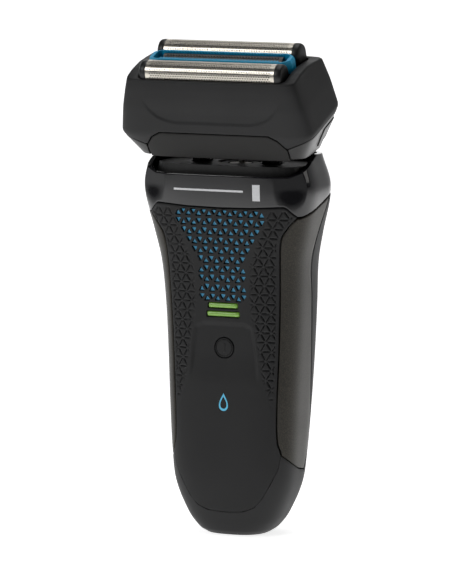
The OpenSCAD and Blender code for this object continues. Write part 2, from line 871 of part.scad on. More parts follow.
bridge_z = 11.2;
bridge_t = 2;
bridge_w = 34;
post_x = 11;
post_d = 2.2;
post_top = 23.4;
fork_x = eccentric_e + drive_pin_d / 2 + 0.35;
fork_t = 1.4;
fork_y = [2, 10.8];
module drive_bridge() {
    color([0.85, 0.85, 0.82])
    in_head()
    union() {
        for (side = [-1, 1])
            box([bridge_w, 5, bridge_t], [0, side * foil_pitch / 2, bridge_z + bridge_t / 2]);
        box([9, foil_pitch, bridge_t], [0, 0, bridge_z + bridge_t / 2]);
        for (side = [-1, 1])
            translate([side * (fork_x + fork_t / 2) - fork_t / 2, fork_y[0], 2.4])
            cube([fork_t, fork_y[1] - fork_y[0], bridge_z - 2.4 + 0.2]);
        for (sx = [-1, 1], sy = [-1, 1])
            translate([sx * post_x, sy * foil_pitch / 2, bridge_z])
            cylinder(d = post_d, h = post_top - bridge_z);
        for (sx = [-1, 1])
            translate([sx * 3, 0, bridge_z]) cylinder(d = post_d, h = post_top - bridge_z);
    }
}

foil_c = head_h + 0.8;
foil_skirt = 6;
cutter_l = foil_l - 7;
cutter_r = foil_r - foil_t - 0.35;
block_z = foil_c - foil_skirt - 1.6;
block_h = 5;
blade_pitch = 1.4;
module cutter(side) {
    color([0.62, 0.63, 0.65])
    in_head()
    translate([0, side * foil_pitch / 2, 0])
    difference() {
        union() {
            box([cutter_l, 3.6, block_h], [0, 0, block_z + block_h / 2]);
            for (k = [0:floor(cutter_l / blade_pitch)])
                translate([-cutter_l / 2 + k * blade_pitch, 0, foil_c])
                rotate([0, 90, 0])
                linear_extrude(0.5)
                intersection() {
                    circle(r = cutter_r);
                    translate([-cutter_r, -cutter_r]) square([cutter_r + 3.2, 2 * cutter_r]);
                }
        }
        for (sx = [-1, 1])
            translate([sx * post_x, 0, block_z - 1])
            cylinder(d = post_d + 2 * run_fit, h = post_top - block_z + 1 + foil_float + 0.3);
    }
}
module cutter_front() {
    cutter(-1);
}
module cutter_rear() {
    cutter(1);
}
module cutter_springs() {
    color("silver")
    in_head()
    for (sx = [-1, 1], sy = [-1, 1])
        translate([sx * post_x, sy * foil_pitch / 2, bridge_z + bridge_t + 0.05])
        coil(1.6, 0.25, block_z - bridge_z - bridge_t - 0.1, 5);
}

guard_l = 2 * window_x - 1.6;
guard_w = foil_pitch - 2 * foil_r - 0.9;
guard_top = foil_c + 2.4;
guard_h = 2.6;
slot_l = foil_l - 2;
slot_w = guard_w - 2.6;
comb_pitch = 1.6;
module intercept_blade() {
    color([0.35, 0.35, 0.37])
    in_head()
    difference() {
        union() {
            box([cutter_l - 2, 1.6, 4.6], [0, 0, guard_top - 4.6 / 2 - 1.6]);
            box([12, 4, 5], [0, 0, guard_top - 6 - 2.5]);
            for (k = [-11:11])
                box([0.7, slot_w - 0.6, 1.2], [k * comb_pitch, 0, guard_top - 1.6 - 0.6]);
        }
        for (sx = [-1, 1])
            translate([sx * 3, 0, guard_top - 14])
            cylinder(d = post_d + 2 * run_fit, h = post_top - guard_top + 14 + foil_float + 0.3);
    }
}
module intercept_guard() {
    color([0.13, 0.5, 0.7])
    in_head()
    union() {
        translate([0, 0, guard_top - guard_h])
        linear_extrude(guard_h)
        difference() {
            rounded_slot(guard_l, guard_w);
            square([slot_l, slot_w], center = true);
        }
        for (k = [-13:13], sy = [-1, 1])
            box([0.75, 1.1, 0.9],
                [k * comb_pitch, sy * (slot_w / 2 - 0.45), guard_top - 0.45]);
        for (sx = [-1, 1])
            box([1.6, guard_w - 2, 7], [sx * (slot_l / 2 + 1.6), 0, guard_top - 5]);
    }
}

module foil_profile(r) {
    union() {
        circle(r = r);
        translate([0, -r]) square([foil_skirt, 2 * r]);
    }
}
module along_head(y, x0, l) {
    translate([x0, y, foil_c]) rotate([0, 90, 0]) linear_extrude(l) children();
}
module foil(side) {
    color([0.75, 0.73, 0.7])
    in_head()
    along_head(side * foil_pitch / 2, -foil_l / 2, foil_l)
    difference() {
        foil_profile(foil_r);
        union() {
            circle(r = foil_r - foil_t);
            translate([0, foil_t - foil_r]) square([foil_skirt + 1, 2 * (foil_r - foil_t)]);
        }
    }
}
module foil_caps(side) {
    color([0.08, 0.08, 0.08])
    in_head()
    for (end = [-1, 1])
        along_head(side * foil_pitch / 2, end * (foil_l + cap_l) / 2 - cap_l / 2, cap_l)
        foil_profile(foil_r);
}
module foil_front() {
    foil(-1);
}
module foil_rear() {
    foil(1);
}
module foil_front_caps() {
    foil_caps(-1);
}
module foil_rear_caps() {
    foil_caps(1);
}

module head_frame() {
    color([0.2, 0.2, 0.21])
    in_head()
    as_one_shell()
    difference() {
        head_solid(0, seam_z + seam_gap / 2, head_h);
        head_solid(head_wall, head_low, head_h - head_wall);
        from_front(SHIELD, seam_gap / 2, -far, -6);
        translate([0, 0, head_h - window_deep])
        linear_extrude(window_deep + 3)
        offset(r = window_corner)
        square(2 * [window_x - window_corner, window_y - window_corner], center = true);
    }
}

front_housing();
rear_shell();
front_grip_panel();
blue_inlay();
side_grip_left();
side_grip_right();
top_collar();
neck_deck();
neck_boot();
tilt_yoke();
tilt_pins();
led_lens_upper();
led_lens_lower();
led_chips();
power_button();
button_spring();
button_switch();
circuit_board();
chassis();
battery_cell_left();
battery_cell_right();
battery_contacts();
motor();
motor_clamp();
drive_eccentric();
socket_housing();
charge_pins();
socket_gasket();
case_screws();
trimmer_bay();
popup_arm();
popup_comb();
popup_cutter();
popup_pin();
popup_latch();
tilt_bracket();
head_base();
thumb_panel();
release_button_left();
release_button_right();
release_springs();
drive_bridge();
cutter_front();
cutter_rear();
cutter_springs();
intercept_blade();
head_frame();
foil_front();
foil_front_caps();
foil_rear();
foil_rear_caps();
intercept_guard();
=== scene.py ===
"""Foil shaver: finished surfaces, materials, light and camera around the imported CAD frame.

The handle and the head are smooth forms worked out from a few stations, in millimetres. Each
outer piece is a patch of such a form, given a thickness, rounded edges and its own relief.
"""

import logging
import math
from dataclasses import dataclass, field
from enum import Enum
from typing import Callable, Sequence

import bpy
import numpy as np
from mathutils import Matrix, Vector


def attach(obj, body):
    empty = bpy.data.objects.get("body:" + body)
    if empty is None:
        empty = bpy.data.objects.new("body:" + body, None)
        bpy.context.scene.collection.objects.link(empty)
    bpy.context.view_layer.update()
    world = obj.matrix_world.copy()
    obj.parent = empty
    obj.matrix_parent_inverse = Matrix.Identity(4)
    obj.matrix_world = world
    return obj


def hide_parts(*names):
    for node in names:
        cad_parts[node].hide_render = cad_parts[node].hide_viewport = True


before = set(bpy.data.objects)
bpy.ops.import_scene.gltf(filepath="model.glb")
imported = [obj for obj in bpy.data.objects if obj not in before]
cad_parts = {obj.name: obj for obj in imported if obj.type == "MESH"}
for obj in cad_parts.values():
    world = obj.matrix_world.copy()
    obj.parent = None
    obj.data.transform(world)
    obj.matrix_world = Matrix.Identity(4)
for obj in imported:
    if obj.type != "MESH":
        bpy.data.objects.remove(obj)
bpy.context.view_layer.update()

logging.basicConfig(level=logging.INFO, format="%(message)s")
log = logging.getLogger("shaver")

MM = 0.001
Array = np.ndarray


# ---------------------------------------------------------------- colour and node helpers
def linear(code: str) -> tuple[float, float, float, float]:
    """Turns an sRGB hex colour into linear RGBA.

    Args:
        code: Colour such as "2A2A2C".

    Returns:
        Red, green, blue and an alpha of one, all linear.
    """
    parts = [int(code[i:i + 2], 16) / 255 for i in (0, 2, 4)]
    return (*[c / 12.92 if c <= 0.04045 else ((c + 0.055) / 1.055) ** 2.4 for c in parts], 1.0)


def add_node(tree: bpy.types.NodeTree, kind: str, settings: dict | None = None,
             **sockets: object) -> bpy.types.Node:
    """Adds a shader node, sets its properties and fills or links its sockets.

    Args:
        tree: Node tree that the node goes into.
        kind: Blender's name of the node type.
        settings: Properties of the node itself.
        sockets: Input sockets by name, underscores for spaces; a socket links, a value is set.

    Returns:
        The new node.
    """
    node = tree.nodes.new(kind)
    for key, value in (settings or {}).items():
        setattr(node, key, value)
    for key, value in sockets.items():
        name = key.replace("_", " ")
        socket = node.inputs[int(name[1:])] if name[1:].isdigit() else node.inputs[name]
        if isinstance(value, bpy.types.NodeSocket):
            tree.links.new(value, socket)
        else:
            socket.default_value = value
    return node


class Grain(Enum):
    """How a finish's colour and bump vary over the surface."""

    MOULDED = "fine spark-eroded mould grain"
    SOFT_TOUCH = "fine sprayed soft coat"
    FLAKE = "sprayed lacquer with metal flake"
    DRAWN = "long fine draw lines"
    PLAIN = "smooth, with a faint waviness"


@dataclass(frozen=True)
class Finish:
    """One surface finish, worked out as a principled shader with procedural grain.

    Attributes:
        name: Name of the material, for what it really is.
        colour: sRGB hex of the main colour.
        shade: sRGB hex of the colour that the grain varies towards.
        roughness: Roughness of the surface.
        grain: How the surface varies.
        grain_mm: Size of the grain, in millimetres.
        bump: Strength of the grain's bump.
        metallic: Metal share.
        coat: Weight of a clear coat.
        ior: Index of refraction of a plastic or a lacquer.
        glow: Strength of the surface's own light.
    """

    name: str
    colour: str
    shade: str
    roughness: float
    grain: Grain
    grain_mm: float = 0.3
    bump: float = 0.1
    metallic: float = 0.0
    coat: float = 0.0
    ior: float = 1.5
    glow: float = 0.0

    def build(self) -> bpy.types.Material:
        """Makes the material once and returns it afterwards."""
        made = bpy.data.materials.get(self.name)
        if made:
            return made
        material = bpy.data.materials.new(self.name)
        material.use_nodes = True
        tree = material.node_tree
        shader = tree.nodes["Principled BSDF"]
        place = add_node(tree, "ShaderNodeTexCoord").outputs["Object"]
        stretch = (1.0, 1.0, 1.0)
        if self.grain is Grain.DRAWN:
            stretch = (0.04, 1.0, 1.0)
        place = add_node(tree, "ShaderNodeMapping", Vector=place, Scale=stretch).outputs[0]
        fine = add_node(tree, "ShaderNodeTexNoise", Vector=place, Scale=1 / (self.grain_mm * MM),
                        Detail=3.0, Roughness=0.6).outputs[0]
        broad = add_node(tree, "ShaderNodeTexNoise", Vector=place, Scale=1 / (14 * MM),
                         Detail=2.0).outputs[0]
        share = self._share(tree, place, fine)
        tint = add_node(tree, "ShaderNodeMix", {"data_type": "RGBA"}, i0=share,
                        i6=linear(self.colour), i7=linear(self.shade)).outputs[2]
        tree.links.new(tint, shader.inputs["Base Color"])
        rough = add_node(tree, "ShaderNodeMapRange", Value=broad, To_Min=self.roughness * 0.9,
                         To_Max=min(1.0, self.roughness * 1.12)).outputs[0]
        tree.links.new(rough, shader.inputs["Roughness"])
        bumped = add_node(tree, "ShaderNodeBump", Height=fine, Strength=self.bump,
                          Distance=self.grain_mm * MM * 0.3).outputs[0]
        tree.links.new(bumped, shader.inputs["Normal"])
        shader.inputs["Metallic"].default_value = self.metallic
        if not self.metallic:
            shader.inputs["IOR"].default_value = self.ior
        shader.inputs["Coat Weight"].default_value = self.coat
        if self.coat:
            shader.inputs["Coat Roughness"].default_value = 0.12
        if self.glow:
            shader.inputs["Emission Color"].default_value = linear(self.colour)
            shader.inputs["Emission Strength"].default_value = self.glow
        return material

    def _share(self, tree: bpy.types.NodeTree, place: bpy.types.NodeSocket,
               fine: bpy.types.NodeSocket) -> bpy.types.NodeSocket:
        """Returns how far the colour goes from the main colour to the shade."""
        if self.grain is Grain.FLAKE:
            cells = add_node(tree, "ShaderNodeTexVoronoi", Vector=place,
                             Scale=1 / (self.grain_mm * MM)).outputs["Color"]
            value = add_node(tree, "ShaderNodeSeparateColor", Color=cells).outputs[0]
            return add_node(tree, "ShaderNodeMapRange", Value=value, From_Min=0.35,
                            From_Max=1.0).outputs[0]
        return add_node(tree, "ShaderNodeMapRange", Value=fine, From_Min=0.3,
                        From_Max=0.75).outputs[0]


# ---------------------------------------------------------------- finishes
# Soft-touch polyurethane over ABS: a broad, dull highlight with no sharp reflection.
SOFT_BLACK = Finish("soft_touch_coated_abs", "131314", "171718", 0.52, Grain.SOFT_TOUCH, 0.25,
                    0.08, ior=1.42)
# The thumb panel's softer elastomer: browner and duller than the frame round it.
THUMB_RUBBER = Finish("thumb_elastomer", "0F0E0D", "131210", 0.58, Grain.SOFT_TOUCH, 0.25,
                      0.1, ior=1.41)
# Overmoulded elastomer: matte, near black, with the mould's fine grain.
PANEL_RUBBER = Finish("overmoulded_elastomer", "0F0F10", "131314", 0.56, Grain.MOULDED, 0.22,
                      0.12, ior=1.41)
# Polished ABS: deep black, clear reflections.
GLOSS_BLACK = Finish("polished_black_abs", "08080B", "0B0B0F", 0.12, Grain.PLAIN, 3.0, 0.02,
                     coat=0.5)
# Satin moulding of the head's lower casing: a soft sheen, a little brown.
HEAD_SATIN = Finish("satin_black_abs_head", "0D0C0B", "11100F", 0.38, Grain.PLAIN, 3.0, 0.02,
                    coat=0.1)
# Sprayed metallic lacquer: warm grey with a fine sparkle, drawn a little coarse so that it shows.
GUNMETAL = Finish("gunmetal_flake_lacquer", "211F1A", "353129", 0.46, Grain.FLAKE, 0.2, 0.12, 0.7,
                  0.2)
# Dark moulded ABS inside the neck and the head.
INNER_BLACK = Finish("moulded_black_abs", "070707", "0A0A0A", 0.48, Grain.MOULDED, 0.3, 0.08)
# Black moulding of the foils' end caps: nearly no light comes back from it.
CAP_BLACK = Finish("black_nylon_cap", "070707", "0A0A0A", 0.4, Grain.MOULDED, 0.3, 0.05)
# Cutter steel behind the foils, coloured near black as painted shade, so that the foils' holes look
# dark.
CUTTER_STEEL_SHADED = Finish("cutter_steel_painted_shade", "1E1D1D", "262524", 0.42, Grain.DRAWN, 0.25, 0.1, 1.0)
# Acetal: milky and slightly waxy.
ACETAL = Finish("moulded_acetal", "CFCBC0", "BDB9AE", 0.42, Grain.MOULDED, 0.4, 0.05)
# Blue ABS of the guard: satin, saturated.
BLUE_GUARD = Finish("blue_moulded_abs", "12A6D6", "18AEDC", 0.4, Grain.MOULDED, 0.3, 0.05)
# Blue insert under the triangle pits.
BLUE_INSERT = Finish("blue_insert_abs", "3F9CC8", "49A8D2", 0.42, Grain.MOULDED, 0.3, 0.05)
# Lit light guide: green acrylic that glows a little by itself.
GREEN_LENS = Finish("green_acrylic_light_guide", "6C9A38", "82AC4C", 0.25, Grain.PLAIN, 1.2, 0.03,
                    coat=0.4, glow=0.12)
# Nickel foil: bright, warm silver.
FOIL_NICKEL = Finish("electroformed_nickel_foil", "D8D3C8", "C4BEB2", 0.26, Grain.DRAWN, 0.3, 0.05,
                     1.0)
# Ground blade steel.
BLADE_STEEL = Finish("ground_blade_steel", "A3A09B", "8C8984", 0.3, Grain.DRAWN, 0.25, 0.1, 1.0)
# Coated blade of the intercept trimmer: dark satin steel.
DARK_STEEL = Finish("coated_blade_steel", "7A756F", "645F5A", 0.34, Grain.DRAWN, 0.25, 0.1, 1.0)
# Drawn spring and can steel.
WIRE_STEEL = Finish("drawn_steel_wire", "9A9A9C", "7E7E80", 0.32, Grain.DRAWN, 0.2, 0.08, 1.0)
# Gold-plated contacts.
PLATED = Finish("gold_plated_brass", "C9A04A", "B58D3C", 0.25, Grain.PLAIN, 0.6, 0.03, 1.0)
# Solder mask on glass fibre.
MASK_GREEN = Finish("solder_mask_green", "15502C", "1B6337", 0.35, Grain.PLAIN, 0.8, 0.05)
# Shrink sleeve on the cells.
CELL_SLEEVE = Finish("shrink_sleeve_green", "2E6B4A", "27593E", 0.3, Grain.PLAIN, 2.0, 0.04)
# Printed pale ink.
PALE_INK = Finish("pale_printed_ink", "DADBDD", "CFD0D2", 0.45, Grain.PLAIN, 0.5, 0.02)
# Printed blue ink.
BLUE_INK = Finish("blue_printed_ink", "58BCE2", "62C4E8", 0.45, Grain.PLAIN, 0.5, 0.02)

NODE_FINISH = {
    "front_housing": INNER_BLACK, "neck_deck": INNER_BLACK, "neck_boot": PANEL_RUBBER,
    "tilt_yoke": INNER_BLACK, "tilt_pins": WIRE_STEEL, "led_chips": ACETAL,
    "button_spring": WIRE_STEEL, "button_switch": INNER_BLACK, "circuit_board": MASK_GREEN,
    "chassis": ACETAL, "battery_cell_left": CELL_SLEEVE, "battery_cell_right": CELL_SLEEVE,
    "battery_contacts": WIRE_STEEL, "motor": WIRE_STEEL, "motor_clamp": INNER_BLACK,
    "drive_eccentric": BLADE_STEEL, "socket_housing": INNER_BLACK, "charge_pins": PLATED,
    "socket_gasket": PANEL_RUBBER, "trimmer_bay": INNER_BLACK, "popup_comb": BLADE_STEEL,
    "popup_cutter": DARK_STEEL, "popup_pin": WIRE_STEEL, "tilt_bracket": INNER_BLACK,
    "release_springs": WIRE_STEEL, "drive_bridge": ACETAL, "cutter_front": CUTTER_STEEL_SHADED,
    "cutter_rear": CUTTER_STEEL_SHADED, "cutter_springs": WIRE_STEEL,
    "release_button_left": HEAD_SATIN, "release_button_right": HEAD_SATIN,
    "popup_latch": GLOSS_BLACK, "popup_arm": GLOSS_BLACK}


# ---------------------------------------------------------------- mesh helpers
def grid_faces(rows: int, cols: int, wrap: bool = False, start: int = 0) -> Array:
    """Quads of a grid of points stored row by row.

    Args:
        rows: Number of rows.
        cols: Number of columns.
        wrap: Whether the last column joins the first.
        start: Index of the grid's first point.

    Returns:
        One row of four indices for each quad.
    """
    across = cols if wrap else cols - 1
    i, j = np.meshgrid(np.arange(rows - 1), np.arange(across), indexing="ij")
    k = (j + 1) % cols
    quads = np.stack([i * cols + j, i * cols + k, (i + 1) * cols + k, (i + 1) * cols + j], -1)
    return quads.reshape(-1, 4) + start


def normals(points: Array, wrap: bool = False) -> Array:
    """Unit normals of a grid surface: the cross product of its two tangents."""
    if wrap:
        wide = np.concatenate([points[:, -1:], points, points[:, :1]], 1)
        along = ((wide[:, 2:] - wide[:, :-2]) / 2)
    else:
        along = np.gradient(points, axis=1)
    up = np.gradient(points, axis=0)
    n = np.cross(along, up)
    return n / np.maximum(np.linalg.norm(n, axis=-1, keepdims=True), 1e-9)


def outward(points: Array, wrap: bool = False, axes: tuple[int, int, int] = (1, 1, 0)) -> Array:
    """Unit normals turned to point away from the middle line, judged on the axes given."""
    n = normals(points, wrap)
    return n * np.sign(np.einsum("ijk,ijk->ij", n, points * list(axes)).sum())


def settle(z: Array, aim: Callable[[Array], Array], rounds: int = 8, share: float = 0.6) -> Array:
    """Finds heights that a seam asks for, where the seam depends on the place at that height.

    Args:
        z: Heights to start from.
        aim: Gives the height that the seam asks for at the place of each height.
        rounds: How many times the heights move towards it.
        share: Share of the way that they move each time.

    Returns:
        The heights.
    """
    for _ in range(rounds):
        z = z + share * (aim(z) - z)
    return z


def turns(count: int, start: float = 0.0) -> Array:
    """Angles of one full turn, evenly spaced, without the last one that repeats the first."""
    return np.linspace(start, start + 2 * math.pi, count + 1)[:-1]


def arc_length(points: Array) -> Array:
    """Distance along each row of a grid from the row's first point."""
    steps = np.diff(points, axis=1, prepend=points[:, :1])
    return np.cumsum(np.linalg.norm(steps, axis=-1), 1)


def disc(rings: int, around: int) -> list[Array]:
    """Faces of rings round a middle point, with the last ring closed by one flat face."""
    last = np.arange(around)[None, ::-1] + around * (rings - 1)
    return [grid_faces(rings, around, wrap=True), last]


def put(name: str, points: Array, faces: Sequence[Array], finish: Finish, body: str,
        stands_for: Sequence[str] = (), slot: str | None = None,
        sharp: float = 32.0) -> bpy.types.Object:
    """Makes a piece from points in millimetres, faces out, and rides it on a body.

    Args:
        name: Name of the piece.
        points: Points, one row each.
        faces: Arrays of faces, each of three or four indices a row.
        finish: Finish of the piece.
        body: Body that it moves with.
        stands_for: CAD nodes that it replaces.
        slot: A material slot of the record; not used.
        sharp: Angle in degrees past which an edge is shown sharp.

    Returns:
        The new object.
    """
    mesh = bpy.data.meshes.new(name)
    flat = np.asarray(points, dtype=float).reshape(-1, 3) * MM
    lists = [face for block in faces for face in np.asarray(block).tolist()]
    mesh.from_pydata(flat.tolist(), [], lists)
    mesh.update()
    mesh.calc_loop_triangles()
    tri = np.empty(len(mesh.loop_triangles) * 3, dtype=np.int32)
    mesh.loop_triangles.foreach_get("vertices", tri)
    a, b, c = (flat[tri.reshape(-1, 3)[:, k]] for k in range(3))
    if np.einsum("ij,ij->i", a, np.cross(b, c)).sum() < 0:
        mesh.flip_normals()
    mesh.polygons.foreach_set("use_smooth", np.ones(len(mesh.polygons), dtype=bool))
    mesh.set_sharp_from_angle(angle=math.radians(sharp))
    mesh.materials.append(finish.build())
    piece = bpy.data.objects.new(name, mesh)
    bpy.context.scene.collection.objects.link(piece)
    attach(piece, body)
    if stands_for:
        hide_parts(*stands_for)
    log.info("%s: %d points, on %s", name, len(flat), body)
    return piece


def slab(outer: Array, inner: Array) -> tuple[Array, list[Array]]:
    """Closes two grids of the same size into a solid: faces of both, and a wall round the rim.

    Args:
        outer: Outer grid, rows by columns by three.
        inner: Inner grid of the same shape.

    Returns:
        Points and faces.
    """
    rows, cols = outer.shape[:2]
    n = rows * cols
    front = grid_faces(rows, cols)
    back = grid_faces(rows, cols, start=n)[:, ::-1]
    index = np.arange(n).reshape(rows, cols)
    ring = np.concatenate([index[0, :-1], index[:-1, -1], index[-1, :0:-1], index[:0:-1, 0]])
    after = np.roll(ring, -1)
    wall = np.stack([ring, ring + n, after + n, after], 1)
    return np.concatenate([outer.reshape(-1, 3), inner.reshape(-1, 3)]), [front, back, wall]


def thin_back_slab(outer: Array, inner: Array, keep: int) -> tuple[Array, list[Array]]:
    """Closes a dense grid with a light back that keeps every row but only some columns.

    The back's first and last rows keep all columns, so that the rim joins point to point, and a
    fan of triangles joins each of them to the light rows between.

    Args:
        outer: Dense outer grid.
        inner: Inner grid of the same shape.
        keep: Number of columns kept across the back.

    Returns:
        Points and faces.
    """
    rows, cols = outer.shape[:2]
    pick = np.round(np.linspace(0, cols - 1, keep)).astype(int)
    n = rows * cols
    top, bottom = inner[0], inner[-1]
    light = inner[1:-1, pick]
    a0, b0, l0 = n, n + cols, n + 2 * cols
    points = np.concatenate([outer.reshape(-1, 3), top, bottom, light.reshape(-1, 3)])
    faces = [grid_faces(rows, cols), grid_faces(rows - 2, keep, start=l0)[:, ::-1]]
    j = np.arange(cols - 1)
    near = np.searchsorted(pick, j + 0.5) - 1
    near = np.clip(near + (j + 0.5 - pick[near] > (pick[near + 1] - pick[near]) / 2), 0, keep - 1)
    last = l0 + (rows - 3) * keep
    faces.append(np.stack([a0 + j, l0 + near, a0 + j + 1], 1))
    faces.append(np.stack([b0 + j + 1, last + near, b0 + j], 1))
    step = np.flatnonzero(np.diff(near)) + 1
    faces.append(np.stack([a0 + j[step], l0 + near[step] - 1, l0 + near[step]], 1))
    faces.append(np.stack([b0 + j[step], last + near[step], last + near[step] - 1], 1))
    index = np.arange(n).reshape(rows, cols)
    left = np.concatenate([[a0], l0 + keep * np.arange(rows - 2), [b0]])
    right = np.concatenate([[a0 + cols - 1], l0 + keep * np.arange(rows - 2) + keep - 1,
                            [b0 + cols - 1]])
    ring = np.concatenate([index[0, :-1], index[:-1, -1], index[-1, :0:-1], index[:0:-1, 0]])
    under = np.concatenate([a0 + j, right[:-1], b0 + np.arange(cols - 1, 0, -1), left[:0:-1]])
    faces.append(np.stack([ring, under, np.roll(under, -1), np.roll(ring, -1)], 1))
    return points, faces


def torus(points: Array) -> tuple[Array, list[Array]]:
    """Closes a grid both ways: rows run round the piece's own section, columns round the body."""
    rows, cols = points.shape[:2]
    faces = grid_faces(rows, cols, wrap=True)
    last = np.arange(cols) + (rows - 1) * cols
    first = np.arange(cols)
    seam = np.stack([last, np.roll(last, -1), np.roll(first, -1), first], 1)
    return points.reshape(-1, 3), [faces, seam]


def join(*solids: tuple[Array, list[Array]]) -> tuple[Array, list[Array]]:
    """Puts several closed solids into one list of points and faces."""
    points, faces, count = [], [], 0
    for p, fs in solids:
        points.append(np.asarray(p, dtype=float).reshape(-1, 3))
        faces += [np.asarray(f) + count for f in fs]
        count += len(points[-1])
    return np.concatenate(points), faces


def eased(count: int, fine: float = 0.03, ends: int = 5) -> Array:
    """Values from 0 to 1, evenly spaced but for a few close ones at both ends."""
    near = fine * (np.arange(ends) / ends) ** 1.5
    return np.concatenate([near, np.linspace(fine, 1 - fine, count - 2 * ends), 1 - near[::-1]])


def smooth(x: Array, lo: float, hi: float) -> Array:
    """Smooth step from 0 at lo to 1 at hi."""
    t = np.clip((x - lo) / (hi - lo), 0, 1)
    return t * t * (3 - 2 * t)


def rounding(distance: Array, radius: Array | float) -> Array:
    """How deep a rounded edge has dropped at a distance in from the edge: a quarter circle."""
    d = np.clip(radius - distance, 0, radius)
    return radius - np.sqrt(np.maximum(radius * radius - d * d, 0))


# ---------------------------------------------------------------- forms
def front_angle(x: Array, k: Array) -> Array:
    """Section angle, on the front, of the point with the given x in sections of sizes k."""
    share = np.clip(np.abs(x) / k[..., 1], 0, 1)
    q = -np.arccos(share ** (k[..., 4] / 2))
    return np.where(np.asarray(x) < 0, -math.pi - q, q)


def rounded(q: Array, a: float, b: float, n: float) -> Array:
    """Points of a rounded box with half sizes a and b and roundness power n, at height 0."""
    return np.stack([a * power(np.cos(q), np.array(n)), b * power(np.sin(q), np.array(n)), 0 * q],
                    -1)


def power(v: Array, n: Array) -> Array:
    """Signed power of two over n, which makes a superellipse from a circle."""
    return np.sign(v) * np.abs(v) ** (2 / n)


def hermite(t: Array, start: Array, end: Array, out: Array, into: Array) -> Array:
    """Cubic from start to end over t from 0 to 1, leaving with slope out, arriving with into."""
    return ((2 * t**3 - 3 * t**2 + 1) * start + (t**3 - 2 * t**2 + t) * out
            + (3 * t**2 - 2 * t**3) * end + (t**3 - t**2) * into)


@dataclass
class Form:
    """A body whose sections, at heights in millimetres, are rounded boxes."""

    stations: Array = field(init=False)

    def at(self, z: Array) -> Array:
        """Section sizes at heights: height, half width, front, back and roundness power."""
        raise NotImplementedError

    def point(self, z: Array, angle: Array, inset: Array | float = 0.0) -> Array:
        """Points at heights and section angles; angle 0 is +X and a quarter turn is the back."""
        z, angle, inset = np.broadcast_arrays(z, angle, inset)
        k = self.at(z)
        a, b = k[..., 1] - inset, (k[..., 3] - k[..., 2]) / 2 - inset
        x = a * power(np.cos(angle), k[..., 4])
        y = (k[..., 2] + k[..., 3]) / 2 + b * power(np.sin(angle), k[..., 4])
        return np.stack([x, y, z], -1)


